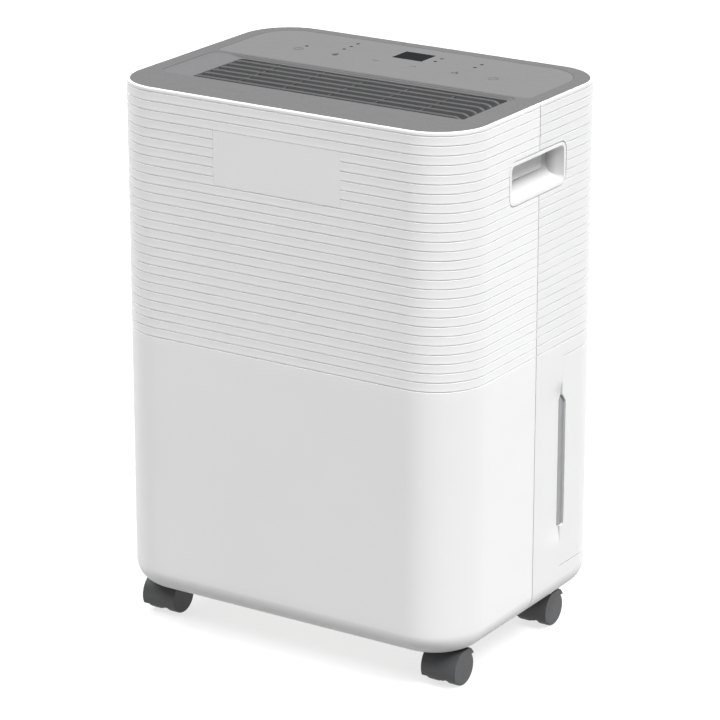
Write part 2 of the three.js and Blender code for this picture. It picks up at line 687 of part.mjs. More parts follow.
function drainParts() {
  const wall = TRAY_WALL;
  const rearFace = DEPTH / 2 - 0.1;
  place('drip_tray', CHASSIS, cut(
    join(
      box(-TRAY_HALF_WIDTH, TRAY_HALF_WIDTH, TRAY_FRONT, TRAY_BACK, TRAY_BOTTOM, TRAY_TOP),
      rod('Y', DRAIN_OUTER, TRAY_BACK - 1, DEPTH / 2 - WALL + 0.6, DRAIN),
    ),
    box(
      -TRAY_HALF_WIDTH + wall, TRAY_HALF_WIDTH - wall, TRAY_FRONT + wall, TRAY_BACK - wall,
      TRAY_BOTTOM + wall, TRAY_TOP + 1,
    ),
    rod('Z', SPOUT_RADIUS + GAP, TRAY_BOTTOM - 1, TRAY_BOTTOM + wall + 1, SPOUT),
    rod('Y', DRAIN_BORE, TRAY_BACK - 2 * wall, DEPTH / 2, DRAIN),
  ));
  place('drain_spout', CHASSIS, tube('Z', SPOUT_RADIUS, SPOUT_BORE, SPOUT_BOTTOM, TRAY_BOTTOM + wall, SPOUT));
  place('drain_plug', RUBBER, join(
    rod('Y', DRAIN_BORE - GAP, TRAY_BACK + 4, rearFace - 1, DRAIN),
    rod('Y', PLUG_HEAD_RADIUS, rearFace - 2, rearFace, DRAIN),
  ));
  place('cord_gland', BLACK, turned('Y', [
    [GLAND_BORE, rearFace - OUTLET_DEPTH], [GLAND_RADIUS, rearFace - OUTLET_DEPTH],
    [GLAND_RADIUS, rearFace], [GLAND_BORE, rearFace], [GLAND_BORE, rearFace - OUTLET_DEPTH],
  ], CORD_EXIT, 16));
}

// ---------------------------------------------------------------- refrigeration circuit

const COMPRESSOR_PROFILE = [
  [0, 60.2], [COMPRESSOR_RADIUS - 12, 60.2], [COMPRESSOR_RADIUS - 2, 68], [COMPRESSOR_RADIUS, 80],
  [COMPRESSOR_RADIUS, 200], [COMPRESSOR_RADIUS - 6, 214], [COMPRESSOR_RADIUS - 22, 222], [0, 226],
];
const GROMMET_PROFILE = [
  [3.3, 42.8], [10, 42.8], [10, 47], [7, 50], [10, 53], [10, 57.7], [3.3, 57.7], [3.3, 42.8],
];

// The corners of a triangle round the compressor's axis, one towards each foot.
const footTriangle = (radius) => FOOT_ANGLES.map((degrees) => {
  const angle = degrees * Math.PI / 180;
  return [COMPRESSOR.x + radius * Math.cos(angle), COMPRESSOR.y + radius * Math.sin(angle)];
});

const footPlaces = () => footTriangle(FOOT_CIRCLE).map(([x, y]) => ({ x, y }));

function compressor() {
  const plate = prismZ(polygon(footTriangle(FOOT_PLATE_CORNER)), 58, 60.6);
  const holes = footPlaces().map((at) => rod('Z', STUD_RADIUS + 1, 57, 62, at));
  place('compressor', BLACK, cut(join(turned('Z', COMPRESSOR_PROFILE, COMPRESSOR, 24), plate), ...holes));
  footPlaces().forEach((at, i) => {
    place(`compressor_grommet_${i + 1}`, RUBBER, turned('Z', GROMMET_PROFILE, at, 12));
  });
  const cover = TERMINAL_COVER;
  place('terminal_cover', BLACK, cut(
    box(
      COMPRESSOR.x + COMPRESSOR_RADIUS - 6, COMPRESSOR.x + cover.reach,
      COMPRESSOR.y - cover.halfWidth, COMPRESSOR.y + cover.halfWidth, cover.bottom, cover.top,
    ),
    rod('Z', COMPRESSOR_RADIUS + GAP, cover.bottom - 1, cover.top + 1, COMPRESSOR, 24),
  ));
}

// A finned block with return bends at both ends; front is its face nearest the fan.
function coil(name, material, front) {
  const middle = front + COIL_THICKNESS / 2;
  const core = box(-COIL_HALF_WIDTH, COIL_HALF_WIDTH, front, front + COIL_THICKNESS, COIL_BOTTOM, COIL_TOP);
  const bends = [];
  for (const side of [-1, 1]) {
    for (let i = 0; i < RETURN_BENDS; i += 1) {
      const ring = new THREE.TorusGeometry(BEND_RADIUS, BEND_TUBE_RADIUS, 6, 8);
      ring.translate(side * COIL_HALF_WIDTH, middle, COIL_BOTTOM + 20 + i * BEND_PITCH);
      bends.push(toSolid(ring));
    }
  }
  place(name, material, join(core, ...bends));
}

function pipework() {
  const evaporatorY = EVAPORATOR_FRONT + COIL_THICKNESS / 2;
  const condenserY = CONDENSER_FRONT + COIL_THICKNESS / 2;
  const coilEnd = COIL_HALF_WIDTH + GAP;
  const straight = coilEnd + 16;
  const [z, high] = [PIPE_ENTRY_Z, CAPILLARY_ENTRY_Z];
  const { x, y } = COMPRESSOR;
  place('suction_pipe', COPPER, pipe([
    [x + 8, y, 227], [x + 8, y, 246], [20, -30, 256], [130, 0, 260], [160, 24, 288], [160, 70, z - 10],
    [146, evaporatorY, z], [straight, evaporatorY, z], [coilEnd, evaporatorY, z],
  ], SUCTION_RADIUS, 20));
  place('discharge_pipe', COPPER, pipe([
    [x - 14, y, 227], [x - 14, y, 242], [-100, -30, 254], [-140, 0, 262], [-160, 24, 290], [-158, 60, z - 8],
    [-146, condenserY, z], [-straight, condenserY, z], [-coilEnd, condenserY, z],
  ], DISCHARGE_RADIUS, 20));
  place('capillary_tube', COPPER, pipe([
    [-coilEnd, condenserY, high], [-straight, condenserY, high], [-140, condenserY + 6, high - 8],
    [-140, evaporatorY - 6, high - 8], [-straight, evaporatorY, high], [-coilEnd, evaporatorY, high],
  ], CAPILLARY_RADIUS, 14));
}

// ---------------------------------------------------------------- fan

// The scroll seen along Y: a spiral that widens into an outlet as wide as the top grille, open at the top.
function scrollOutline(margin, top) {
  const spiralSteps = 18;
  const startAngle = 50;
  const duct = OUTLET_DUCT;
  const points = [];
  for (let step = 0; step <= spiralSteps; step += 1) {
    const share = step / spiralSteps;
    const angle = (startAngle + share * (360 - startAngle)) * Math.PI / 180;
    const radius = SCROLL_START_RADIUS + share * (SCROLL_END_RADIUS - SCROLL_START_RADIUS) - margin;
    points.push([radius * Math.cos(angle), FAN_Z + radius * Math.sin(angle)]);
  }
  points.push(
    [SCROLL_END_RADIUS + 6 - margin, duct.riseZ], [duct.right - margin, top], [duct.left + margin, top],
    [duct.lowLeft + margin, duct.lowLeftZ + margin], [duct.kneeX, duct.kneeZ + margin],
  );
  return polygon(points);
}

function fan() {
  const axis = { x: 0, z: FAN_Z };
  const front = SCROLL_FRONT;
  const back = SCROLL_BACK;
  place('fan_scroll', CHASSIS, cut(
    prismY(scrollOutline(0, SCROLL_TOP), front, back),
    prismY(scrollOutline(SHEET, SCROLL_TOP + 1), front + SHEET, back + 1),
    rod('Y', 3 * SHAFT_RADIUS, front - 1, front + SHEET + 1, axis),
  ));
  place('scroll_cover', CHASSIS, cut(
    prismY(scrollOutline(0, SCROLL_TOP), back + GAP, back + GAP + SHEET),
    rod('Y', INLET_RING_RADIUS, back - 1, back + SHEET + 2, axis, 24),
  ));
  place('fan_motor', STEEL, join(
    rod('Y', MOTOR_RADIUS, MOTOR_FRONT, front - 3, axis, 24),
    rod('Y', MOTOR_RADIUS + 8, front - 3.5, front - GAP, axis, 24),
    rod('Y', SHAFT_RADIUS, front - 1, -20, axis),
  ));
  place('fan_impeller', BLACK, impeller(axis));
}

function impeller(axis) {
  const discFront = SCROLL_FRONT + 6;
  const bladeEnd = -6;
  const inner = IMPELLER_RADIUS - BLADE_DEPTH;
  const blades = Array.from({ length: BLADE_COUNT }, (_, i) => {
    const blade = new THREE.BoxGeometry(BLADE_DEPTH - 1, bladeEnd - discFront - 1.5, 1.4);
    blade.rotateY(-0.5).translate(inner + BLADE_DEPTH / 2, 0, 0);
    blade.rotateY(i / BLADE_COUNT * 2 * Math.PI);
    return toSolid(blade.translate(axis.x, (discFront + bladeEnd) / 2, axis.z));
  });
  return cut(
    join(
      rod('Y', IMPELLER_RADIUS, discFront, discFront + 2, axis, 24),
      rod('Y', 10, discFront, -24, axis, 16),
      tube('Y', IMPELLER_RADIUS, inner, bladeEnd - 3, bladeEnd, axis, 24),
      ...blades,
    ),
    rod('Y', SHAFT_RADIUS + GAP, discFront - 1, bladeEnd, axis, 12),
  );
}

// ---------------------------------------------------------------- electrics

function electrics() {
  const shell = ELECTRICS_BOX;
  place('electrics_box', CHASSIS, cut(blockOf(shell), blockOf({
    left: shell.left + SHEET, right: shell.right - SHEET, front: shell.front - 1, back: shell.back - SHEET,
    bottom: shell.bottom + SHEET, top: shell.top - SHEET,
  })));
  const storage = STORAGE_CAPACITORS_X.map((x) => rod(
    'Y', 9, TRANSFORMER.front, TRANSFORMER.back + 1, { x, z: STORAGE_CAPACITORS_Z },
  ));
  place('main_board', BOARD, join(...[MAIN_BOARD, TRANSFORMER, RELAY, TERMINALS].map(blockOf), ...storage));
  const can = RUN_CAPACITOR;
  const tags = [-5, 5].map((dx) => box(
    can.x + dx - 1, can.x + dx + 1, can.y - 4, can.y + 4, can.top - 1, can.top + 8,
  ));
  place('capacitor', ALUMINIUM, join(rod('Z', can.radius, can.bottom, can.top, can), ...tags));
  place('humidity_sensor', BOARD, join(blockOf(SENSOR_BOARD), blockOf(SENSOR_HEAD)));
  const wall = BAY_WALL_Y + SHEET;
  const switchPart = ({ halfWidth, bottom, top }, front, back) => (
    box(-halfWidth, halfWidth, front, back, bottom, top)
  );
  place('tank_switch', BLACK, join(
    switchPart(SWITCH, wall + GAP, wall + 3),
    switchPart(SWITCH_BUTTON, wall + 2.8, wall + 4.5),
  ));
}

// ---------------------------------------------------------------- casters

// A twin-wheel caster: a hood with its stem, an axle and two wheels, trailing towards the front.
function caster(name, pivotX, pivotY) {
  const centre = { x: pivotX, y: pivotY - CASTER_TRAIL, z: WHEEL_RADIUS };
  const shellBand = new THREE.Shape();
  const [from, to] = HOOD_ARC.map((degrees) => degrees * Math.PI / 180);
  shellBand.absarc(centre.y, centre.z, HOOD_OUTER, from, to);
  shellBand.absarc(centre.y, centre.z, HOOD_INNER, to, from, true);
  const webHalf = CASTER_HALF_WIDTH - WHEEL_WIDTH - 0.8;
  const below = (z) => box(pivotX - 50, pivotX + 50, pivotY - 60, pivotY + 60, -1, z);
  const hood = join(
    prismX(shellBand, pivotX - CASTER_HALF_WIDTH, pivotX + CASTER_HALF_WIDTH, 4).intersect(below(CASTER_TOP)),
    rod('X', HOOD_OUTER - 0.5, pivotX - webHalf, pivotX + webHalf, centre, 16)
      .intersect(below(CASTER_TOP))
      .subtract(below(HOOD_UNDERSIDE)),
    box(pivotX - webHalf, pivotX + webHalf, centre.y, pivotY + 5.5, HOOD_INNER, CASTER_TOP),
    rod('Z', STEM_RADIUS, CASTER_TOP - 6, CASTER_STEM_TOP, { x: pivotX, y: pivotY }),
  );
  const bore = rod('X', AXLE_RADIUS + GAP, pivotX - WHEEL_WIDTH, pivotX + WHEEL_WIDTH, centre);
  place(`${name}_hood`, CASTER_GREY, cut(hood, bore));
  const axle = rod('X', AXLE_RADIUS, pivotX - AXLE_HALF_LENGTH, pivotX + AXLE_HALF_LENGTH, centre);
  place(`${name}_axle`, STEEL, axle);
  place(`${name}_wheel_left`, CASTER_GREY, wheel(centre, -1));
  place(`${name}_wheel_right`, CASTER_GREY, wheel(centre, 1));
}

// One wheel: a disc with a rounded tread edge and a blind bore on its inner side.
function wheel(centre, side) {
  const inner = CASTER_HALF_WIDTH - WHEEL_WIDTH;
  const boreEnd = AXLE_HALF_LENGTH + 0.7;
  const bore = AXLE_RADIUS + GAP;
  const profile = [
    [0, boreEnd], [bore, boreEnd], [bore, inner], [WHEEL_RADIUS - 1, inner], [WHEEL_RADIUS, inner + 1],
    [WHEEL_RADIUS, CASTER_HALF_WIDTH - 2.5], [WHEEL_RADIUS - 2, CASTER_HALF_WIDTH - 0.4],
    [0, CASTER_HALF_WIDTH],
  ];
  return turned('X', profile.map(([radius, along]) => [radius, side * along]), centre, 16);
}

// ---------------------------------------------------------------- build

shells();
handleCup('handle_cup_left', -1);
handleCup('handle_cup_right', 1);
baseTray();
bayPartition();
topDeck();
outletGrille();
controlPanel();
inletFilter();
tankBucket();
tankFascia();
tankLid();
tankHandle();
tankFloat();
drainParts();
compressor();
coil('evaporator', ALUMINIUM, EVAPORATOR_FRONT);
coil('condenser', ALUMINIUM, CONDENSER_FRONT);
pipework();
fan();
electrics();
for (const [end, signY] of [['front', -1], ['rear', 1]]) {
  for (const [side, signX] of [['left', -1], ['right', 1]]) {
    caster(`caster_${end}_${side}`, signX * CASTER_X, signY * CASTER_Y);
  }
}

export default group;
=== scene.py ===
# Looks for the dehumidifier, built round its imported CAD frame. Shapes are worked out in millimetres and
# turned into Blender's metres by as_object. Materials, the camera and the room are in metres.
import json
import math

import bmesh
import bpy
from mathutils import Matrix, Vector


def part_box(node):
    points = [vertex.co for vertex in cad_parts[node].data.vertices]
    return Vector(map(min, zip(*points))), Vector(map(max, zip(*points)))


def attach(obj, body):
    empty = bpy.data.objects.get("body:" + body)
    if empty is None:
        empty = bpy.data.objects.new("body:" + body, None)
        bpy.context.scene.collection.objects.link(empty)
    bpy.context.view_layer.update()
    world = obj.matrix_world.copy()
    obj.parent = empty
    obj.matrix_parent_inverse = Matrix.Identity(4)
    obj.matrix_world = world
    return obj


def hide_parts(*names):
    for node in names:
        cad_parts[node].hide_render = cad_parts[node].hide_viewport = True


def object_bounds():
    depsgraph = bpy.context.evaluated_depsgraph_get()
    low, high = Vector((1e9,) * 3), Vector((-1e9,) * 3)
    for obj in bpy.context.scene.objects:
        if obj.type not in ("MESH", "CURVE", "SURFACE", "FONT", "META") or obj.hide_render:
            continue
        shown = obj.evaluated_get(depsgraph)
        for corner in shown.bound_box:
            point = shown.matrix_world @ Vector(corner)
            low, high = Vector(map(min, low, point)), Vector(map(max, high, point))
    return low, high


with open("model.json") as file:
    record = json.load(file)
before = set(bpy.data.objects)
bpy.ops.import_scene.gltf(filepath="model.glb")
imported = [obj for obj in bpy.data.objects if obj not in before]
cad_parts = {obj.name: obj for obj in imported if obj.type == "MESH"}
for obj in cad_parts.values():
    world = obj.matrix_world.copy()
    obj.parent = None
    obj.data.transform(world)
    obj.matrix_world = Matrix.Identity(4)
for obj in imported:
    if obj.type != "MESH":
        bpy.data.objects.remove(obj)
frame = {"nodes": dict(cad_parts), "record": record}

CAD_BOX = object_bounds()
MM = 0.001


def box(node):
    """The low and high corners of a CAD node, in millimetres."""
    return tuple(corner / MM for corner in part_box(node))


def middle(node):
    low, high = box(node)
    return (low + high) / 2


# ---- sizes

HALF_WIDTH, HALF_DEPTH, TOP = CAD_BOX[1] / MM
BODY_BOTTOM = box("front_shell")[0].z
SEAM_FRONT = box("front_shell")[1].y
SEAM_REAR = box("rear_shell")[0].y
CORNER_RADIUS = 51.5
CORNER_STEPS = 20
WALL = 3
BOTTOM_ROUND = 22
BOTTOM_STEPS = 12
GAP = 0.3
TIGHT = 0.06  # a joint that hardly shows
HANDLE_GAP = 1.0
PAST = 10  # how far a cutting tool reaches past what it cuts
FAR = 1000  # a reach past the whole machine

# The ribbed band: planks of one pitch, each flaring out to a lip at its lower edge, over a narrow groove.
RIB_PITCH = 8.5
RIB_LINES = 28
RIM_HEIGHT = 3
GROOVE_DEPTH = 1.0
SMOOTH_ANGLE = math.radians(38)

# The seam between the shells: a rounded edge on the front shell and a stepped one on the rear shell.
SEAM_EDGE = 0.5
SEAM_STEP_WIDTH = 0.8
SEAM_STEP_DEPTH = 1.1

# The shallow scoop in the right side wall, in front of the tank's level window.
SCOOP_DEPTH = 2.4
SCOOP_LENGTH = 36
SCOOP_FADE = 14

# The tank's level window, on the right side only: a slit with a pointed top.
WINDOW_BOTTOM = 109
WINDOW_TOP = 237.5
WINDOW_FRONT = 49.5
WINDOW_BACK = 58.6
WINDOW_SHOULDER = 7.5  # how far below its point the slit has its full width

# Handle cups, badge and screws.
CUP_CORNER = 8.7
CUP_RIM = 3.2
HOLLOW_DEPTH = 19
BADGE_CORNER = 2
SCREW_PLACES = [(x, z) for z in (492, 286.5) for x in (-118, 118)]
SCREW_RADIUS = 3.2
SCREW_HEIGHT = 2
SCREW_SINK = 2.2

# Top deck, and the control panel's touch keys in a row with lamps beside the display.
DECK_TOP = box("top_deck")[1].z
DECK_INSET = WALL + GAP
DECK_THICKNESS = 5
PANEL_FRONT_CORNER = 8
PANEL_BACK_CORNER = 38
INK = 0.06  # how far the panel's marks stand proud
INK_ROOT = 0.2  # how deep they are set in
KEY_ROW_Y = 58
KEYS_X = [-105, -64, -21, 21, 65, 105]
LAMPS = [
    (-104.2, 70.7), (-68.5, 103.3), (-68.2, 91.2), (-68.4, 79.4),
    (27.4, 96.3), (27.5, 84.5), (69.6, 97.1), (69.8, 84.4),
]

# Outlet grille.
SLOT_PITCH = 12.9
SLOT_COUNT = 7
SLOT_FIRST_Y = -72.2
SLOT_HALF = 3.3
SLOT_LEFT = -134
SLOT_RIGHT = 151
SLAT_TOP = DECK_TOP - 2.2
GRILLE_CORNER = 12

# Rear inlet, and the water tank with its folding handle.
INLET_CORNER = 6
INLET_BORDER = 7
TANK_PIVOT = Vector((0, 62, 246.5))
BAIL_RADIUS = 3
BUCKET_WALL = 2.5

# Base tray and coils.
PAD_TOP = 39.9
PAN_TOP = 42.4
FIN_PITCH = 2.2
FIN_THICKNESS = 0.4
COIL_HALF = 112
TUBE_RADIUS = 3.4
BEND_RADIUS = 8.5

# Casters. Angles are in degrees from straight back.
CASTER_NAMES = [f"caster_{end}_{side}" for end in ("front", "rear") for side in ("left", "right")]
WHEEL_RADIUS = 16.5
WHEEL_BORE = 2.8
WHEEL_WIDTH = 13
CASTER_HALF = 18
CASTER_TRAIL = 11.05
CASTER_TOP = BODY_BOTTOM - 0.5
CASTER_STEM_TOP = 60
HOOD_OUTER = 19.2
HOOD_INNER = 17.1
HOOD_BACK = 38
HOOD_FRONT = 205
HOOD_TAPER = 1.6  # how much the hood's rear end is thinned
HOOD_TAPER_START = 68
CHEEK_TURN = 38.5  # the cheeks cover the wheels above this angle

# Camera, with its azimuth and elevation, and lamps, each with its azimuth, elevation and strength.
CAMERA_LENS = 172.4
CAMERA_SIDE = (32.7, 18.9)
CAMERA_DISTANCE = 3.187  # metres
CAMERA_DROP = 9.2
ROOM_RADIUS = 12  # metres
SKY_STRENGTH = 0.36
LAMP_SPREAD = 24
LAMPS_ROUND = {
    "lamp_front": (-28, 55, 1.65),
    "lamp_right": (80, 54, 3.45),
    "lamp_back": (175, 52, 1.9),
    "lamp_left": (-95, 50, 1.2),
}


# ---- node materials


class Graph:
    """Adds and links the shader nodes of one material."""

    def __init__(self, name):
        self.material = bpy.data.materials.new(name)
        self.material.use_nodes = True
        self.tree = self.material.node_tree
        self.shader = self.tree.nodes["Principled BSDF"]
        self.place = self.add("ShaderNodeTexCoord").outputs["Object"]

    def add(self, kind, **settings):
        node = self.tree.nodes.new(kind)
        for key, value in settings.items():
            setattr(node, key, value)
        return node

    def link(self, source, target):
        self.tree.links.new(source, target)

    def noise(self, scale, detail=3.0, stretch=(1, 1, 1)):
        mapping = self.add("ShaderNodeMapping")
        mapping.inputs["Scale"].default_value = stretch
        texture = self.add("ShaderNodeTexNoise")
        texture.inputs["Scale"].default_value = scale
        texture.inputs["Detail"].default_value = detail
        self.link(self.place, mapping.inputs["Vector"])
        self.link(mapping.outputs["Vector"], texture.inputs["Vector"])
        return texture.outputs["Fac"]

    def spread(self, source, low, high):
        """Maps the middle of a noise, about 0.3 to 0.7, to low and high."""
        ranged = self.add("ShaderNodeMapRange")
        ranged.inputs["From Min"].default_value = 0.3
        ranged.inputs["From Max"].default_value = 0.7
        ranged.inputs["To Min"].default_value = low
        ranged.inputs["To Max"].default_value = high
        self.link(source, ranged.inputs["Value"])
        return ranged.outputs["Result"]

    def tint(self, factor, dark, light):
        """The base colour, from dark to light as the factor goes from 0 to 1."""
        ramp = self.add("ShaderNodeValToRGB")
        ramp.color_ramp.elements[0].color = (*dark, 1)
        ramp.color_ramp.elements[1].color = (*light, 1)
        self.link(factor, ramp.inputs["Fac"])
        self.link(ramp.outputs["Color"], self.shader.inputs["Base Color"])

    def bump(self, height, strength, distance):
        node = self.add("ShaderNodeBump")
        node.inputs["Strength"].default_value = strength
        node.inputs["Distance"].default_value = distance
        self.link(height, node.inputs["Height"])
        self.link(node.outputs["Normal"], self.shader.inputs["Normal"])

    def gloss(self, source, low, high):
        self.link(self.spread(source, low, high), self.shader.inputs["Roughness"])

    def set(self, **values):
        for key, value in values.items():
            self.shader.inputs[key.replace("_", " ")].default_value = value


def shade(color, factor):
    return tuple(min(1.0, channel * factor) for channel in color)


def moulded(name, color, roughness, grain=0.12, grain_scale=1500, specular=0.4, variation=0.03, mottle=7):
    """Moulded plastic: a spark-eroded grain, uneven gloss, and flow marks or, at a high mottle, specks."""
    graph = Graph(name)
    graph.set(Specular_IOR_Level=specular)
    flow = graph.spread(graph.noise(mottle, detail=2), 0, 1)
    graph.tint(flow, shade(color, 1 - variation), shade(color, 1 + variation))
    graph.gloss(graph.noise(60, detail=4), roughness - 0.04, roughness + 0.05)
    graph.bump(graph.noise(grain_scale, detail=2), grain, 0.05 * MM)
    return graph.material


def white_with_painted_shade(name, color, deep_painted_shade, shallow, deep):
    """The casing's plastic with painted shade: a shade darker towards the bottom of a cup in its side, where
    the hollow lies in shade.
    """
    graph = Graph(name)
    split = graph.add("ShaderNodeSeparateXYZ")
    graph.link(graph.place, split.inputs["Vector"])
    sideways = graph.add("ShaderNodeMath", operation="ABSOLUTE")
    graph.link(split.outputs["X"], sideways.inputs[0])
    outward = graph.add("ShaderNodeMapRange")
    outward.inputs["From Min"].default_value = (HALF_WIDTH - deep) * MM
    outward.inputs["From Max"].default_value = (HALF_WIDTH - shallow) * MM
    graph.link(sideways.outputs["Value"], outward.inputs["Value"])
    # painted shade: darker deep in the hollow, the casing's own colour at the rim
    graph.tint(outward.outputs["Result"], shade(color, deep_painted_shade), color)
    graph.gloss(graph.noise(60, detail=4), 0.4, 0.5)
    graph.bump(graph.noise(1500, detail=2), 0.1, 0.05 * MM)
    return graph.material


def glossy(name, color, roughness=0.12, coat=0.4):
    """A polished or enamelled skin with faint smudges under a clear coat."""
    graph = Graph(name)
    graph.set(Coat_Weight=coat)
    smudges = graph.noise(90, detail=5)
    graph.gloss(smudges, roughness, roughness + 0.08)
    graph.tint(graph.noise(20), shade(color, 0.9), shade(color, 1.1))
    graph.bump(graph.noise(220), 0.03, 0.1 * MM)
    return graph.material


def metal(name, color, roughness, stretch, grain_scale=220):
    """Drawn, rolled or plated metal: the grain is a noise stretched along one direction."""
    graph = Graph(name)
    graph.set(Metallic=1.0)
    grain = graph.noise(grain_scale, detail=4, stretch=stretch)
    graph.tint(graph.spread(graph.noise(25), 0, 1), shade(color, 0.8), shade(color, 1.08))
    graph.gloss(grain, roughness - 0.08, roughness + 0.12)
    graph.bump(grain, 0.15, 0.05 * MM)
    return graph.material


def rubber(name, color):
    """Soft rubber with a dusty bloom."""
    graph = Graph(name)
    graph.set(Specular_IOR_Level=0.25)
    bloom = graph.noise(140, detail=5)
    graph.tint(graph.spread(bloom, 0, 1), color, shade(color, 2.2))
    graph.gloss(bloom, 0.75, 0.9)
    graph.bump(graph.noise(900), 0.3, 0.1 * MM)
    return graph.material


def smoky(name, color):
    """The tank's bucket: tinted, partly see-through plastic with faint mould waves."""
    graph = Graph(name)
    graph.set(Transmission_Weight=0.15, IOR=1.49)
    waves = graph.noise(35, detail=3)
    graph.tint(graph.spread(waves, 0, 1), shade(color, 0.93), shade(color, 1.07))
    graph.gloss(waves, 0.16, 0.26)
    graph.bump(waves, 0.08, 0.3 * MM)
    return graph.material


def light_table(name, color, glow):
    """A pale floor lit from below, so that shadows on it stay light."""
    graph = Graph(name)
    graph.set(Emission_Color=(1, 1, 1, 1), Emission_Strength=glow, Specular_IOR_Level=0.1)
    cloudy = graph.noise(3)
    graph.tint(graph.spread(cloudy, 0, 1), shade(color, 0.99), shade(color, 1.01))
    graph.gloss(cloudy, 0.78, 0.84)
    return graph.material


def woven(name, color, threads_per_metre=1400):
    """Dust-filter mesh: two crossed sets of threads."""
    graph = Graph(name)
    graph.set(Roughness=0.85)
    crossing = graph.add("ShaderNodeMath", operation="MAXIMUM")
    for socket, direction in zip(crossing.inputs, ("X", "Z")):
        wave = graph.add("ShaderNodeTexWave", wave_type="BANDS", bands_direction=direction)
        wave.inputs["Scale"].default_value = threads_per_metre / (2 * math.pi)
        graph.link(graph.place, wave.inputs["Vector"])
        graph.link(wave.outputs["Fac"], socket)
    height = crossing.outputs["Value"]
    graph.tint(height, shade(color, 0.25), shade(color, 1.3))
    graph.bump(height, 0.6, 0.2 * MM)
    return graph.material


def circuit_board(name):
    """Green lacquer over copper tracks, drawn by a brick pattern."""
    graph = Graph(name)
    tracks = graph.add("ShaderNodeTexBrick")
    tracks.inputs["Scale"].default_value = 160
    tracks.inputs["Mortar Size"].default_value = 0.03
    tracks.inputs["Color1"].default_value = (0.012, 0.10, 0.035, 1)
    tracks.inputs["Color2"].default_value = (0.015, 0.13, 0.045, 1)
    tracks.inputs["Mortar"].default_value = (0.05, 0.24, 0.09, 1)
    graph.link(graph.place, tracks.inputs["Vector"])
    graph.link(tracks.outputs["Color"], graph.shader.inputs["Base Color"])
    graph.gloss(graph.noise(200), 0.3, 0.45)
    graph.bump(tracks.outputs["Fac"], 0.2, 0.05 * MM)
    return graph.material


CASING_COLOR = (0.84, 0.84, 0.84)
COARSE = {"grain_scale": 1100, "specular": 0.3}
DECK_SPECKS = {"variation": 0.07, "mottle": 420}
MATERIALS = {
    "casing_white": moulded("casing_white", CASING_COLOR, 0.42, grain=0.1, variation=0.01),
    "chassis_white": moulded("chassis_white", (0.66, 0.66, 0.63), 0.55, grain=0.2),
    "deck_grey": moulded("deck_grey", (0.102, 0.102, 0.104), 0.5, grain=0.3, **COARSE, **DECK_SPECKS),
    "panel_grey": moulded("panel_grey", (0.133, 0.133, 0.135), 0.45, 0.04, specular=0.3, variation=0.008),
    "grille_grey": moulded("grille_grey", (0.109, 0.109, 0.112), 0.5, grain=0.25, **COARSE),
    "display_black": moulded("display_black", (0.014, 0.015, 0.016), 0.6, grain=0.02, specular=0.0),
    "caster_grey": moulded("caster_grey", (0.066, 0.067, 0.07), 0.5, 0.35, 900, variation=0.08),
    "tank_smoke": smoky("tank_smoke", (0.36, 0.365, 0.375)),
    "float_foam": moulded("float_foam", (0.76, 0.72, 0.64), 0.85, grain=0.9, grain_scale=500),
    "board_green": circuit_board("board_green"),
    "black_plastic": moulded("black_plastic", (0.022, 0.022, 0.023), 0.55, grain=0.3),
    "black_rubber": rubber("black_rubber", (0.02, 0.02, 0.02)),
    "compressor_black": glossy("compressor_enamel", (0.018, 0.018, 0.02), roughness=0.3, coat=0.15),
    "steel": metal("zinc_steel", (0.56, 0.57, 0.6), 0.35, (1, 1, 12)),
    "copper": metal("drawn_copper", (0.72, 0.36, 0.22), 0.32, (1, 1, 1)),
    "aluminium": metal("mill_aluminium", (0.76, 0.77, 0.79), 0.38, (40, 1, 1)),
    "mesh_grey": woven("filter_mesh_cloth", (0.16, 0.165, 0.175)),
}
MARK_INK = moulded("mark_ink", (0.032, 0.032, 0.034), 0.5, grain=0.02)
# The casing's plastic a shade darker: painted shade on the rear shell and the tank panel, behind the seam.
REAR_WHITE_PAINTED_SHADE = moulded("rear_white_painted_shade", (0.79, 0.79, 0.79), 0.42, grain=0.1, variation=0.01)
# The handle cups' plastic, with painted shade darker deep in their hollows.
CUP_WHITE_PAINTED_SHADE = white_with_painted_shade("cup_white_painted_shade", CASING_COLOR, 0.6, 8, HOLLOW_DEPTH)
SLAT_GREY = moulded("slat_grey", (0.062, 0.062, 0.064), 0.55, grain=0.25, grain_scale=1100, specular=0.25)


# ---- mesh tools


def as_object(name, bm, unit=MM):
    """Puts a finished shape in the scene; unit is the shape's own unit in metres."""
    mesh = bpy.data.meshes.new(name)
    bmesh.ops.recalc_face_normals(bm, faces=bm.faces)
    bmesh.ops.scale(bm, vec=(unit, unit, unit), verts=bm.verts)
    bm.to_mesh(mesh)
    bm.free()
    obj = bpy.data.objects.new(name, mesh)
    bpy.context.scene.collection.objects.link(obj)
    return obj


def discard(obj):
    mesh = obj.data
    bpy.data.objects.remove(obj)
    bpy.data.meshes.remove(mesh)


def apply_modifiers(obj):
    """Turns the modified shape into the object's own mesh."""
    bpy.context.view_layer.update()
    evaluated = obj.evaluated_get(bpy.context.evaluated_depsgraph_get())
    mesh = bpy.data.meshes.new_from_object(evaluated)
    obj.modifiers.clear()
    old = obj.data
    obj.data = mesh
    bpy.data.meshes.remove(old)
    mesh.name = obj.name
    return obj


def combine(obj, tools, operation):
    """Booleans of an object with its tools, which are used up."""
    for tool in tools:
        modifier = obj.modifiers.new(operation.lower(), "BOOLEAN")
        modifier.operation = operation
        modifier.solver = "EXACT"
        modifier.object = tool
        apply_modifiers(obj)
        discard(tool)
    return obj


def carve(obj, *tools):
    return combine(obj, tools, "DIFFERENCE")


def weld(obj, *tools):
    return combine(obj, tools, "UNION")


def overlap(obj, *tools):
    return combine(obj, tools, "INTERSECT")


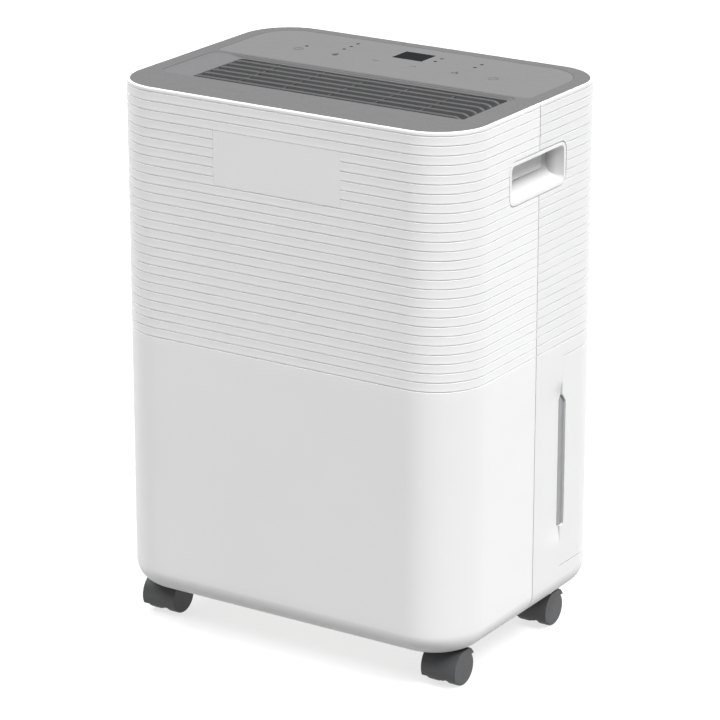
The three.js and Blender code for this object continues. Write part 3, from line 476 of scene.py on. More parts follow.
def gather(name, parts):
    """Several closed solids in one mesh."""
    bm = bmesh.new()
    for part in parts:
        bm.from_mesh(part.data)
        discard(part)
    return as_object(name, bm, 1)


def round_edges(obj, width, segments=2, angle=35):
    modifier = obj.modifiers.new("round_edges", "BEVEL")
    modifier.width = width * MM
    modifier.segments = segments
    modifier.limit_method = "ANGLE"
    modifier.angle_limit = math.radians(angle)
    return apply_modifiers(obj)


SLOTS = {part["node"]: part["material_slot"] for part in frame["record"]["subparts"]}
BODY_OF = {node: body for body, nodes in frame["record"]["behaviour"]["bodies"].items() for node in nodes}


def finish_piece(obj, slot, body, replaced=(), material=None, angle=SMOOTH_ANGLE):
    """Smooth shading, one material (the slot's own unless another is given), the body it rides on, and the
    CAD nodes that it stands for hidden.
    """
    obj.data.materials.clear()
    obj.data.materials.append(material or MATERIALS[slot])
    for face in obj.data.polygons:
        face.use_smooth = True
        face.material_index = 0
    obj.data.set_sharp_from_angle(angle=angle)
    modifier = obj.modifiers.new("flat_faces_stay_flat", "WEIGHTED_NORMAL")
    modifier.keep_sharp = True
    apply_modifiers(obj)
    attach(obj, body)
    if replaced:
        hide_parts(*replaced)
    return obj


def stand_in(obj, node, material=None, angle=SMOOTH_ANGLE):
    """Finishes a piece that takes a CAD node's place, with the node's own body and slot."""
    return finish_piece(obj, SLOTS[node], BODY_OF[node], [node], material, angle)


def loft(name, rings, closed_path=False):
    """A closed surface through rings of equal length."""
    bm = bmesh.new()
    rows = [[bm.verts.new(point) for point in ring] for ring in rings]
    count = len(rows[0])
    pairs = list(zip(rows, rows[1:]))
    if closed_path:
        pairs.append((rows[-1], rows[0]))
    for low, high in pairs:
        for i in range(count):
            j = (i + 1) % count
            bm.faces.new((low[i], low[j], high[j], high[i]))
    if not closed_path:
        bm.faces.new(rows[0])
        bm.faces.new(rows[-1])
    return as_object(name, bm)


AXES = {
    "X": (Vector((0, 1, 0)), Vector((0, 0, 1)), Vector((1, 0, 0))),
    "Y": (Vector((0, 0, 1)), Vector((1, 0, 0)), Vector((0, 1, 0))),
    "Z": (Vector((1, 0, 0)), Vector((0, 1, 0)), Vector((0, 0, 1))),
}


def lathe(name, axis, centre, profile, segments=64):
    """A turned solid. Its profile is (radius, distance along the axis) pairs, pole to pole or in a loop."""
    u, v, along = AXES[axis]
    bm = bmesh.new()
    rows = []
    for radius, distance in profile:
        base = Vector(centre) + along * distance
        if radius == 0:
            rows.append([bm.verts.new(base)])
            continue
        turns = [2 * math.pi * i / segments for i in range(segments)]
        rows.append([bm.verts.new(base + (u * math.cos(a) + v * math.sin(a)) * radius) for a in turns])
    pairs = list(zip(rows, rows[1:]))
    if profile[0][0] > 0:
        pairs.append((rows[-1], rows[0]))
    for low, high in pairs:
        for i in range(segments):
            j = (i + 1) % segments
            corners = [low[i % len(low)], low[j % len(low)], high[j % len(high)], high[i % len(high)]]
            distinct = list(dict.fromkeys(corners))
            if len(distinct) > 2:
                bm.faces.new(distinct)
    return as_object(name, bm)


def rod(name, axis, centre, radius, low, high, bevel=0.3, segments=48):
    """A round rod with softened ends; low and high are distances along the axis from the centre point."""
    profile = [
        (0, low), (radius - bevel, low), (radius, low + bevel),
        (radius, high - bevel), (radius - bevel, high), (0, high),
    ]
    return lathe(name, axis, centre, profile, segments)


def block(name, low, high, bevel=0.0, segments=3):
    bm = bmesh.new()
    bmesh.ops.create_cube(bm, size=1)
    size = Vector(high) - Vector(low)
    bmesh.ops.scale(bm, vec=size, verts=bm.verts)
    bmesh.ops.translate(bm, vec=(Vector(high) + Vector(low)) / 2, verts=bm.verts)
    if bevel:
        bmesh.ops.bevel(bm, geom=bm.edges[:], offset=bevel, segments=segments, profile=0.5, affect="EDGES")
    return as_object(name, bm)


def node_block(name, node, bevel, margin=0.0):
    """A softened block with a CAD node's own box."""
    low, high = box(node)
    edge = Vector((margin, margin, margin))
    return block(name, low - edge, high + edge, bevel)


def arc(cx, cy, radius, start, end, steps):
    """Points on an arc, with its angles in degrees."""
    turns = [math.radians(start + (end - start) * i / steps) for i in range(steps + 1)]
    return [(cx + radius * math.cos(a), cy + radius * math.sin(a)) for a in turns]


def rounded_rect(left, right, low, high, radius, top_radius=None, steps=10):
    """Outline of a rectangle with round corners, anticlockwise from its low right corner."""
    top = radius if top_radius is None else top_radius
    return (
        arc(right - radius, low + radius, radius, -90, 0, steps)
        + arc(right - top, high - top, top, 0, 90, steps)
        + arc(left + top, high - top, top, 90, 180, steps)
        + arc(left + radius, low + radius, radius, 180, 270, steps)
    )


def node_outline(node, across, up, margin, radius, top_radius=None, steps=10):
    """A rounded rectangle round a CAD node seen along one axis, grown by a margin."""
    low, high = box(node)
    a, b = "xyz".index(across), "xyz".index(up)
    sides = (low[a] - margin, high[a] + margin, low[b] - margin, high[b] + margin)
    return rounded_rect(*sides, radius, top_radius, steps)


def prism(name, outline, axis, low, high):
    """An outline pushed along an axis. Its pairs are (y, z) for X, (x, z) for Y and (x, y) for Z."""
    place = {
        "X": lambda a, b, along: (along, a, b),
        "Y": lambda a, b, along: (a, along, b),
        "Z": lambda a, b, along: (a, b, along),
    }[axis]
    return loft(name, [[place(a, b, along) for a, b in outline] for along in (low, high)])


def copy_of(node, name):
    """A new object with a CAD node's own shape, its split corners welded and its flat faces whole."""
    bm = bmesh.new()
    bm.from_mesh(frame["nodes"][node].data)
    bmesh.ops.remove_doubles(bm, verts=bm.verts, dist=0.01 * MM)
    bmesh.ops.dissolve_limit(bm, angle_limit=math.radians(1), verts=bm.verts, edges=bm.edges)
    return as_object(name, bm, 1)


def refined(node, name, bevel=0.5):
    """Takes a CAD node's place with the same shape and softened edges."""
    return stand_in(round_edges(copy_of(node, name), bevel), node)


def smoothed(node, name):
    """Takes the place of a faceted pipe with the same pipe, round and smooth."""
    obj = copy_of(node, name)
    modifier = obj.modifiers.new("smooth", "SUBSURF")
    modifier.levels = 2
    return stand_in(apply_modifiers(obj), node)


# ---- casing shells


def corner_stations(cx, cy, start):
    """(point on the casing's outline, outward direction) round one vertical corner."""
    found = []
    for step in range(CORNER_STEPS + 1):
        a = math.radians(start + 90 * step / CORNER_STEPS)
        out = Vector((math.cos(a), math.sin(a), 0))
        found.append((Vector((cx, cy, 0)) + out * CORNER_RADIUS, out))
    return found


def casing_outline(inset):
    """The casing's whole outline seen from above, pulled in by an inset."""
    cx, cy = HALF_WIDTH - CORNER_RADIUS, HALF_DEPTH - CORNER_RADIUS
    corners = [(cx, cy, 0), (-cx, cy, 90), (-cx, -cy, 180), (cx, -cy, 270)]
    stations = [station for corner in corners for station in corner_stations(*corner)]
    return [(point - out * inset).xy for point, out in stations]


def casing_slab(name, levels):
    """A closed body through casing outlines: levels holds (z, inset) pairs from the bottom up."""
    return loft(name, [[(*point, z) for point in casing_outline(inset)] for z, inset in levels])


def rounded_levels(low, high, inset, radius=0.5):
    return [(low, inset + radius), (low + radius, inset), (high - radius, inset), (high, inset + radius)]


def side_stations(from_y, to_y, count):
    """(point, outward direction) along the flat right side, close enough to carry the scoop."""
    step = (to_y - from_y) / count
    return [(Vector((HALF_WIDTH, from_y + step * i, 0)), Vector((1, 0, 0))) for i in range(count + 1)]


def shell_stations(front):
    """(point, outward direction, extra inset of the outside) from the right side round to the left one."""
    cx, cy = HALF_WIDTH - CORNER_RADIUS, HALF_DEPTH - CORNER_RADIUS
    if front:
        bevel = [(0, 1), (0.3, 0.3), (1, 0)]
        ends = [(SEAM_FRONT - SEAM_EDGE * back, SEAM_EDGE * inset) for back, inset in bevel]
        corners = corner_stations(cx, -cy, 270)[::-1] + corner_stations(-cx, -cy, 180)[::-1]
        right = []
    else:
        step = SEAM_REAR + SEAM_STEP_WIDTH
        ends = [(SEAM_REAR, SEAM_STEP_DEPTH), (step, SEAM_STEP_DEPTH), (step + 0.01, 0.1), (step + 0.2, 0)]
        corners = corner_stations(cx, cy, 0) + corner_stations(-cx, cy, 90)
        right = [(point, out, 0) for point, out in side_stations(step + 3, cy - 2, 24)]
    right = [(Vector((HALF_WIDTH, y, 0)), Vector((1, 0, 0)), extra) for y, extra in ends] + right
    left = [(Vector((-HALF_WIDTH, y, 0)), Vector((-1, 0, 0)), extra) for y, extra in reversed(ends)]
    return right + [(point, out, 0) for point, out in corners] + left


def rib_line(number):
    return TOP - RIM_HEIGHT - RIB_PITCH * number


def plank_profile(number):
    """(inset, z) up one plank, through the groove above it and on to the lip of the next plank."""
    z = rib_line(number)
    face = [(-7.4, 0.04), (-6.4, 0.09), (-5.0, 0.12), (-2.6, 0.11), (-1.2, 0.08)]
    if number == RIB_LINES - 1:
        face = [(-9, 0.0), (-4, 0.03), (-1.2, 0.08)]
    groove = [(-0.98, 0.28), (-0.8, 1.0), (-0.1, 1.0)]
    lip = [(0.0, 0.05), (0.15, 0.0), (0.5, 0.0)]
    return [(share * GROOVE_DEPTH, z + height) for height, share in face + groove + lip]


def outside_profile():
    """(inset, z) up the outside: rounded bottom edge, smooth wall, planks and grooves, rim."""
    smooth_bottom = BODY_BOTTOM + BOTTOM_ROUND
    profile = arc(BOTTOM_ROUND, smooth_bottom, BOTTOM_ROUND, 270, 180, BOTTOM_STEPS)
    ribs_bottom = rib_line(RIB_LINES - 1) - 14
    steps = 36
    profile += [(0.0, smooth_bottom + (ribs_bottom - smooth_bottom) * i / steps) for i in range(1, steps + 1)]
    for number in range(RIB_LINES - 1, -1, -1):
        profile += plank_profile(number)
    return profile + [(0.0, TOP - 0.8), (0.25, TOP - 0.25), (0.8, TOP)]


def inside_profile():
    """(inset, z) down the inside, from the rim to the lip under the body."""
    profile = [(WALL - 0.5, TOP), (WALL, TOP - 0.5)]
    profile += arc(BOTTOM_ROUND, BODY_BOTTOM + BOTTOM_ROUND, BOTTOM_ROUND - WALL, 180, 270, BOTTOM_STEPS)
    lip = BOTTOM_ROUND + 2
    return profile + [(lip, BODY_BOTTOM + WALL), (lip, BODY_BOTTOM)]


def smoothstep(value):
    t = max(0.0, min(1.0, value))
    return t * t * (3 - 2 * t)


def scoop(point):
    """How far the wall is pressed in at a point, to form the scoop in front of the level window."""
    if point.x < HALF_WIDTH - 2 * WALL:
        return 0.0
    along = max(0.0, min(1.0, (point.y - WINDOW_FRONT + SCOOP_LENGTH) / SCOOP_LENGTH))
    up = smoothstep((point.z - WINDOW_BOTTOM + SCOOP_FADE) / SCOOP_FADE)
    down = smoothstep((WINDOW_TOP + SCOOP_FADE - point.z) / SCOOP_FADE)
    return SCOOP_DEPTH * along * (0.4 + 0.6 * along) * up * down


def shell(name, front):
    outside, inside = outside_profile(), inside_profile()
    rings = []
    for point, out, extra in shell_stations(front):
        ring = [point - out * (inset + extra) + Vector((0, 0, z)) for inset, z in outside]
        ring += [point - out * inset + Vector((0, 0, z)) for inset, z in inside]
        rings.append([place - Vector((scoop(place), 0, 0)) for place in ring])
    return loft(name, rings)


def handle_outline(margin):
    """The handle cup's outline in (y, z), grown by a margin."""
    return node_outline("handle_cup_right", "y", "z", margin, CUP_CORNER + margin)


def window_outline(margin=0.0):
    """The level window's outline in (y, z), grown by a margin at the front."""
    peak = box("tank_fascia")[0].y + 0.7
    front = WINDOW_FRONT - margin
    return [
        (front, WINDOW_BOTTOM), (WINDOW_BACK, WINDOW_BOTTOM), (WINDOW_BACK, WINDOW_TOP - WINDOW_SHOULDER),
        (peak, WINDOW_TOP), (front, WINDOW_TOP - 5.5),
    ]


def build_front_shell():
    pocket = node_outline("badge_plate", "x", "z", TIGHT, BADGE_CORNER, steps=5)
    obj = carve(
        shell("front_casing", True),
        prism("tool", handle_outline(HANDLE_GAP), "X", -HALF_WIDTH - PAST, HALF_WIDTH + PAST),
        prism("tool", pocket, "Y", -HALF_DEPTH - PAST, box("badge_plate")[1].y + GAP),
    )
    stand_in(obj, "front_shell")


def hole_tool(node, radius):
    centre = middle(node)
    return rod("tool", "Y", (centre.x, 0, centre.z), radius, HALF_DEPTH - 8, HALF_DEPTH + PAST)


def build_rear_shell():
    """The rear shell, cut out for the cups, tank, inlet, level window, plug, gland and screws."""
    tank_low, tank_high = box("tank_fascia")
    inlet = node_outline("inlet_grille", "x", "z", GAP, INLET_CORNER)
    screw_wells = [
        rod("tool", "Y", (x, HALF_DEPTH, z), SCREW_RADIUS + 1.4, -SCREW_SINK, PAST) for x, z in SCREW_PLACES
    ]
    obj = carve(
        shell("rear_casing", False),
        prism("tool", handle_outline(HANDLE_GAP), "X", -HALF_WIDTH - PAST, HALF_WIDTH + PAST),
        block("tool", (-FAR, tank_low.y - TIGHT, tank_low.z - GAP), (FAR, FAR, tank_high.z + GAP)),
        prism("tool", inlet, "Y", HALF_DEPTH - 8, HALF_DEPTH + PAST),
        prism("tool", window_outline(), "X", HALF_WIDTH - PAST, HALF_WIDTH + PAST),
        hole_tool("drain_plug", 9.5),
        hole_tool("cord_gland", 7.3),
        *screw_wells,
    )
    # painted shade: the rear shell is a shade darker than the front shell
    stand_in(obj, "rear_shell", REAR_WHITE_PAINTED_SHADE)
    heads = [screw_head("Y", (x, HALF_DEPTH - SCREW_SINK, z)) for x, z in SCREW_PLACES]
    finish_piece(gather("rear_screws", heads), "steel", "casing")


def screw_head(axis, place, sign=1):
    """A pan head with a cross recess, standing on a place and pointing along an axis."""
    rise = [(0, 0), (1, 0), (1, 0.8), (0.8, 1.5), (0.4, 1.9), (0, SCREW_HEIGHT)]
    profile = [(share * SCREW_RADIUS, sign * height) for share, height in rise]
    head = lathe("screw_head", axis, place, profile, 24)
    u, v, along = AXES[axis]
    top = Vector(place) + along * sign * SCREW_HEIGHT
    for a, b in ((u, v), (v, u)):
        half = a * 1.7 + b * 0.35 + along
        carve(head, block("tool", top - half, top + half))
    return head


def build_badge():
    """A blank plate on the front."""
    low, high = box("badge_plate")
    outline = node_outline("badge_plate", "x", "z", 0, BADGE_CORNER, steps=6)
    plate = prism("badge_blank", outline, "Y", low.y + 0.1, high.y)
    stand_in(round_edges(plate, 0.3, 3), "badge_plate")


def build_handle_cup(name, side):
    """A cup with a light rim, painted shade darker deep in its hollow, a floor that slopes outward and a
    finger pad high on its inner wall.
    """
    low, high = box(name)
    outer, inner = (high.x, low.x) if side > 0 else (low.x, high.x)
    sill, ceiling = low.z + CUP_RIM, high.z - CUP_RIM
    curve = arc(HOLLOW_DEPTH - 10, sill + 13.6, 10, -60, 0, 14)
    section = [(-PAST, sill), (0, sill), *curve, (HOLLOW_DEPTH, ceiling), (-PAST, ceiling)]
    section = [(outer - side * depth, z) for depth, z in section]
    hollow = overlap(
        prism("tool", handle_outline(-CUP_RIM), "X", *sorted((inner, outer + side * PAST))),
        prism("tool", section, "Y", low.y, high.y),
    )
    pad_x = sorted(outer - side * (HOLLOW_DEPTH + depth) for depth in (-3.5, 8))
    pad_low = (pad_x[0], low.y - PAST, low.z + 0.36 * (high.z - low.z))
    pad_high = (pad_x[1], high.y - 15, high.z + PAST)
    carve(hollow, block("tool", pad_low, pad_high, bevel=3, segments=5))
    cup = carve(prism(f"{name}_shell", handle_outline(0), "X", *sorted((outer, inner))), hollow)
    # the cup's material paints shade deep in its hollow
    stand_in(round_edges(cup, 0.5, 3, angle=60), name, CUP_WHITE_PAINTED_SHADE)


# ---- top deck


def build_deck():
    """The deck plate with its skirt, the panel's shallow pocket and the grille's opening."""
    low_z = box("top_deck")[0].z
    outer = casing_slab("deck_plate", [
        (low_z, DECK_INSET), (DECK_TOP - 0.5, DECK_INSET), (DECK_TOP, DECK_INSET + 0.5),
    ])
    skirt = DECK_INSET + 2.5
    under = casing_slab("tool", [(low_z - PAST, skirt), (DECK_TOP - DECK_THICKNESS, skirt)])
    panel = node_outline("control_panel", "x", "y", GAP, PANEL_FRONT_CORNER, PANEL_BACK_CORNER, 16)
    grille = node_outline("outlet_grille", "x", "y", GAP, GRILLE_CORNER)
    board = rounded_rect(-116, 116, 44, 112, 4)
    carve(
        outer,
        under,
        prism("tool", panel, "Z", box("control_panel")[0].z - GAP, TOP + PAST),
        prism("tool", grille, "Z", low_z - PAST, TOP + PAST),
        prism("tool", board, "Z", low_z - PAST, TOP + PAST),
    )
    stand_in(outer, "top_deck")


def slat(y):
    """One blade of the grille: a crest at its rear edge, a leaning front and a right end that curves down."""
    low_z = box("outlet_grille")[0].z
    front = [(-3.2, -7), (-1.4, -0.9), (-1.2, -0.5), (0.7, -0.1)]
    crest = [(1.1, 0.15), (1.3, -0.1), (1.3, -0.8), (1.2, -7)]
    section = front + crest
    bend = 9
    bend_x = SLOT_RIGHT - 3.2 - bend
    stops = [(SLOT_LEFT - 1, 0.9), (SLOT_LEFT + 3, 0.3), (SLOT_LEFT + 8, 0.0), (bend_x, 0.0)]
    stops += [(bend_x + bend * x, 6 * (1 - z)) for z, x in arc(0, 0, 1, 0, 90, 12)[1:]]
    rings = [[(x, y + dy, max(SLAT_TOP + dz - drop, low_z)) for dy, dz in section] for x, drop in stops]
    return loft("slat", rings)


def build_grille():
    """A tray with sloping sides, long and gentle on the left, and seven slots between ribbed slats."""
    low, high = box("outlet_grille")
    slot_low = SLOT_FIRST_Y - SLOT_HALF
    slot_high = SLOT_FIRST_Y + SLOT_PITCH * (SLOT_COUNT - 1) + SLOT_HALF
    outline = node_outline("outlet_grille", "x", "y", 0, GRILLE_CORNER - GAP)
    frame_top = DECK_TOP - 0.2
    tray_floor = SLAT_TOP - 0.4
    opening = rounded_rect(SLOT_LEFT, SLOT_RIGHT, slot_low, slot_high - 1.3, 4)
    brim = rounded_rect(low.x + 2, high.x - 0.6, low.y + 1.5, high.y - 0.2, 9)
    rings = [[(*point, low.z - PAST) for point in opening]]
    for share in (i / 10 for i in range(11)):
        height = tray_floor + (frame_top - tray_floor) * smoothstep(share)
        rings.append([(*Vector(a).lerp(Vector(b), share), height) for a, b in zip(opening, brim)])
    rings.append([(*point, frame_top + PAST) for point in brim])
    body = carve(prism("louvre_tray", outline, "Z", low.z, frame_top), loft("tool", rings))
    stand_in(body, "outlet_grille", angle=math.radians(50))
    slats = [slat(SLOT_FIRST_Y + SLOT_PITCH * (i + 0.5)) for i in range(SLOT_COUNT - 1)]
    ribs = [
        block("rib", (x, slot_low - 1, low.z), (x + 1.1, slot_high, SLAT_TOP - 1.1))
        for x in range(-91, 140, 48)
    ]
    slats = gather("louvre_slats", slats + ribs)
    finish_piece(slats, SLOTS["outlet_grille"], BODY_OF["outlet_grille"], material=SLAT_GREY)


def build_panel():
    """The touch panel with its display window, key marks and lamps."""
    low, high = box("control_panel")
    lens_low, lens_high = box("display_lens")
    corners = (PANEL_FRONT_CORNER - GAP, PANEL_BACK_CORNER - GAP)
    outline = node_outline("control_panel", "x", "y", 0, *corners, 16)
    panel = carve(
        prism("touch_panel", outline, "Z", low.z, high.z),
        block("tool", lens_low - Vector((GAP, GAP, PAST)), lens_high + Vector((GAP, GAP, PAST))),
    )
    stand_in(round_edges(panel, 0.3, 2), "control_panel")
    stand_in(node_block("display_window", "display_lens", 0.25), "display_lens")
    finish_piece(gather("key_marks", key_marks(high.z)), "deck_grey", "casing", material=MARK_INK)
    lamps = [rod("lamp", "Z", (x, y, high.z), 1.7, -INK_ROOT, INK, 0.02, 24) for x, y in LAMPS]
    finish_piece(gather("lamps", lamps), "display_black", "casing")


def ring_mark(x, z, outer=4.6, line=0.7):
    """A flat ring on the panel, round a key."""
    inner = outer - line
    profile = [(inner, -INK_ROOT), (outer, -INK_ROOT), (outer, INK), (inner, INK)]
    return lathe("ring", "Z", (x, KEY_ROW_Y, z), profile, 48)


def chevron_mark(x, z, size, point_back):
    """A plain arrowhead, pointing to the back or to the front."""
    tip = size if point_back else -size
    y = KEY_ROW_Y
    outline = [
        (x - size, y - tip / 2), (x, y + tip / 2), (x + size, y - tip / 2),
        (x + size, y - tip / 2 - tip * 0.35), (x, y + tip * 0.15), (x - size, y - tip / 2 - tip * 0.35),
    ]
    return prism("chevron", outline, "Z", z - INK_ROOT, z + INK)


def key_marks(z):
    """Plain marks for the six touch keys: rings with bars, a drop, arrowheads and petals."""
    timer_x, mode_x, down_x, up_x, fan_x, power_x = KEYS_X
    marks = [ring_mark(timer_x, z), ring_mark(power_x, z)]
    marks += [
        block("bar", (x - 0.35, y0, z - INK_ROOT), (x + 0.35, y1, z + INK))
        for x, y0, y1 in ((timer_x, 57.5, 60.5), (power_x, 59.5, 64))
    ]
    marks.append(chevron_mark(down_x, z, 3, False))
    marks.append(chevron_mark(up_x, z, 3, True))
    drop = arc(mode_x, KEY_ROW_Y - 1, 3, 150, 390, 24) + [(mode_x, KEY_ROW_Y + 5)]
    marks.append(prism("drop", drop, "Z", z - INK_ROOT, z + INK))
    for turn in range(3):
        a = math.radians(90 + 120 * turn)
        cx, cy = fan_x + 2.4 * math.cos(a), KEY_ROW_Y + 2.4 * math.sin(a)
        petal = arc(cx, cy, 1.5, 0, 345, 16)
        marks.append(prism("petal", petal, "Z", z - INK_ROOT, z + INK))
    return marks


# ---- rear inlet and filter


def build_inlet():
    """A framed louvre: slanting blades in line with the planks, behind three posts."""
    low, high = box("inlet_grille")
    border = INLET_BORDER
    outline = node_outline("inlet_grille", "x", "z", 0, INLET_CORNER - GAP)
    opening = node_outline("inlet_grille", "x", "z", -border, 3)
    hole = prism("tool", opening, "Y", low.y - PAST, high.y + PAST)
    parts = [round_edges(carve(prism("rim", outline, "Y", low.y, high.y), hole), 0.5, 2)]
    z = low.z + border + 1.2
    while z < high.z - border:
        front = [(high.y - 0.5, z + 0.2), (high.y, z + 0.8), (high.y - 0.1, z + 1.7)]
        section = [(low.y, z - 1.9), *front, (low.y, z - 0.3)]
        parts.append(prism("blade", section, "X", low.x + border - 1, high.x - border + 1))
        z += RIB_PITCH
    for x in (-60, 0, 60):
        parts.append(block("post", (x - 1.5, low.y, low.z + 2), (x + 1.5, high.y - 1, high.z - 2)))
    stand_in(gather("rear_louvre", parts), "inlet_grille")
    refined("filter_frame", "filter_surround", 0.5)
    stand_in(copy_of("filter_mesh", "filter_cloth"), "filter_mesh")


# ---- water tank


def behind(name, y, low_z, high_z):
    return block(name, (-FAR, y, low_z - PAST), (FAR, FAR, high_z + PAST))


def build_fascia():
    """The tank's front panel: a band round the back of the machine, with a grip and the level slit."""
    low, high = box("tank_fascia")
    grip = rounded_rect(-48, 48, 246, high.z + 30, 12, steps=12)
    band = casing_slab("tank_panel", rounded_levels(low.z + 0.4, high.z - 0.4, 0, 0.4))
    band = overlap(band, behind("tool", low.y, low.z, high.z))
    carve(
        band,
        casing_slab("tool", [(low.z - PAST, WALL), (high.z + PAST, WALL)]),
        prism("tool", grip, "Y", HALF_DEPTH - CORNER_RADIUS, HALF_DEPTH + PAST),
        prism("tool", window_outline(PAST), "X", HALF_WIDTH - PAST, HALF_WIDTH + PAST),
    )
    # painted shade: the tank panel is a shade darker than the front shell
    stand_in(band, "tank_fascia", REAR_WHITE_PAINTED_SHADE)


def build_bucket():
    """The smoky bucket, with a raised bar that fills the level slit."""
    low, high = box("tank_bucket")
    inset = HALF_WIDTH - high.x
    outer = casing_slab("bucket", [
        (low.z, inset + 7), (low.z + 1.5, inset + 3.4), (low.z + 4, inset + 1),
        (low.z + 8, inset), (high.z - 0.8, inset), (high.z, inset + 0.5),
    ])
    outer = overlap(outer, behind("tool", low.y, low.z, high.z))
    front = WINDOW_FRONT + 0.4
    window = [
        (front, WINDOW_BOTTOM + GAP), (WINDOW_BACK - TIGHT, WINDOW_BOTTOM + GAP),
        (WINDOW_BACK - TIGHT, WINDOW_TOP - WINDOW_SHOULDER), (front + 2, WINDOW_TOP - 1.5),
        (front, WINDOW_TOP - 6),
    ]
    bar = prism("tool", window, "X", HALF_WIDTH - inset - 1, HALF_WIDTH - 2.2)
    weld(outer, bar)
    inside, floor_z = inset + BUCKET_WALL, low.z + 2 * BUCKET_WALL
    inner = casing_slab("tool", [(floor_z, inside + 4), (floor_z + 4, inside), (high.z + PAST, inside)])
    inner = overlap(inner, behind("tool", low.y + BUCKET_WALL, low.z, high.z + PAST))
    stand_in(carve(outer, inner), "tank_bucket")


def lid_lip(inlet, centre, top_z):
    """The raised rim round the lid's inlet."""
    outline = rounded_rect(centre.x - 31, centre.x + 31, centre.y - 15, centre.y + 13, 6)
    lip = prism("lip", outline, "Z", top_z - 1, top_z + 2)
    return round_edges(carve(lip, prism("tool", inlet, "Z", top_z - PAST, top_z + PAST)), 0.5, 2)


def bored_tab(arch, foot_z, x, half, pin, bore):
    """A tab from the lid with a round end, drilled for a pin. The arch is its round end in (y, z)."""
    outline = [(arch[0][0], foot_z), *arch, (arch[-1][0], foot_z)]
    tab = prism("tab", outline, "X", x - half, x + half)
    return round_edges(carve(tab, rod("tool", "X", pin, bore, -FAR, FAR)), 0.3)


def build_lid():
    """The lid: a plate with ears for the handle, lugs for the float and an inlet with a raised rim."""
    low_z = box("tank_bucket")[1].z + GAP
    top_z = low_z + 5.2
    low, high = box("tank_lid")
    plate = casing_slab("lid", rounded_levels(low_z, top_z, HALF_WIDTH - high.x, 0.7))
    overlap(plate, behind("tool", low.y, low_z, top_z))
    well = middle("drain_spout")
    inlet = rounded_rect(well.x - 28, well.x + 28, well.y - 12, well.y + 10, 3)
    carve(plate, prism("tool", inlet, "Z", low_z - PAST, top_z + PAST))
    parts = [plate, lid_lip(inlet, well, top_z)]
    ear_arch = arc(TANK_PIVOT.y, TANK_PIVOT.z - 1.5, 6, 180, 0, 16)
    ear_x = box("tank_handle")[1].x - 6.15
    pin = middle("float_pin")
    lug_arch = arc(pin.y, pin.z, 5, 180, 360, 16)
    for side in (-1, 1):
        parts.append(bored_tab(ear_arch, top_z - 1, side * ear_x, 1.75, TANK_PIVOT, 2.2))
    for side in (-1, 1):
        parts.append(bored_tab(lug_arch, low_z + 1, pin.x + side * 9, 1.5, pin, 1.9))
    stand_in(gather("lid", parts), "tank_lid")


def build_tank_handle():
    """A bail: two flat arms with pivot pins, and a round grip bar."""
    low, high = box("tank_handle")
    y, z = TANK_PIVOT.y, middle("tank_handle").z
    bar_y = high.y - BAIL_RADIUS
    parts = [rod("bar", "X", (0, bar_y, z), BAIL_RADIUS, low.x, high.x, 1)]
    outline = arc(y, z, BAIL_RADIUS, 90, 270, 16) + arc(bar_y, z, BAIL_RADIUS, -90, 90, 16)
    for side in (-1, 1):
        arm_x = sorted((side * high.x, side * (high.x - 4)))
        parts.append(round_edges(prism("arm", outline, "X", *arm_x), 0.6))
        parts.append(rod("pin", "X", (side * (high.x - 5.7), y, z), 1.8, -2.7, 2.7))
    stand_in(gather("bail", parts), "tank_handle")


# ---- chassis and condensate path


def build_base_tray():
    """The pan and its pad, with caster bosses, compressor studs and the tank's rails."""
    parts = [
        casing_slab("pad", rounded_levels(box("base_tray")[0].z, PAD_TOP, BOTTOM_ROUND + 2.3)),
        casing_slab("pan", rounded_levels(PAD_TOP - 0.3, PAN_TOP, BOTTOM_ROUND - 5)),
    ]
    boss = [(4.3, PAN_TOP - 2), (8, PAN_TOP - 2), (8, 61.5), (7.5, 62), (4.3, 62)]
    for name in CASTER_NAMES:
        axle = middle(f"{name}_axle")
        parts.append(lathe("boss", "Z", (axle.x, axle.y + CASTER_TRAIL, 0), boss, 32))
    for number in (1, 2, 3):
        foot = middle(f"compressor_grommet_{number}")
        parts.append(rod("stud", "Z", (foot.x, foot.y, 0), 3, PAN_TOP - 1, 63))
    top = box("tank_bucket")[0].z - 2 * GAP
    rail = [(50, PAN_TOP - 1), (118, PAN_TOP - 1), (118, top - 2), (116, top), (52, top), (50, top - 2)]
    for x in (-120, 0, 120):
        parts.append(prism("rail", rail, "X", x - 1.5, x + 1.5))
    stand_in(gather("chassis_tray", parts), "base_tray")


def build_tray_screws():
    """Six screws under the base tray."""
    places = [(-120, -20), (120, -20), (-60, 95), (60, 95), (-60, -95), (60, -95)]
    z = box("base_tray")[0].z
    heads = [screw_head("Z", (x, y, z + 1.9), -1) for x, y in places]
    finish_piece(gather("underside_screws", heads), "steel", "casing")


def build_partition():
    """The tank bay's front wall and ceiling, with a hole for the drain spout."""
    low, high = box("bay_partition")
    ceiling_z = high.z - 2.5
    well = middle("drain_spout")
    ceiling = casing_slab("ceiling", [(ceiling_z, WALL + 1), (high.z, WALL + 1)])
    ceiling = overlap(ceiling, behind("tool", low.y, ceiling_z, high.z))
    carve(ceiling, rod("tool", "Z", (well.x, well.y, 0), 8.1, ceiling_z - PAST, high.z + PAST))
    wall = block("wall", low, (high.x, low.y + 2.5, high.z - 0.5), 0.4)
    ribs = [
        block("rib", (x, low.y - 2, low.z + 4), (x + 2, low.y + 1, ceiling_z), 0.4) for x in (-131, 129)
    ]
    stand_in(gather("bay_wall", [ceiling, wall, *ribs]), "bay_partition")


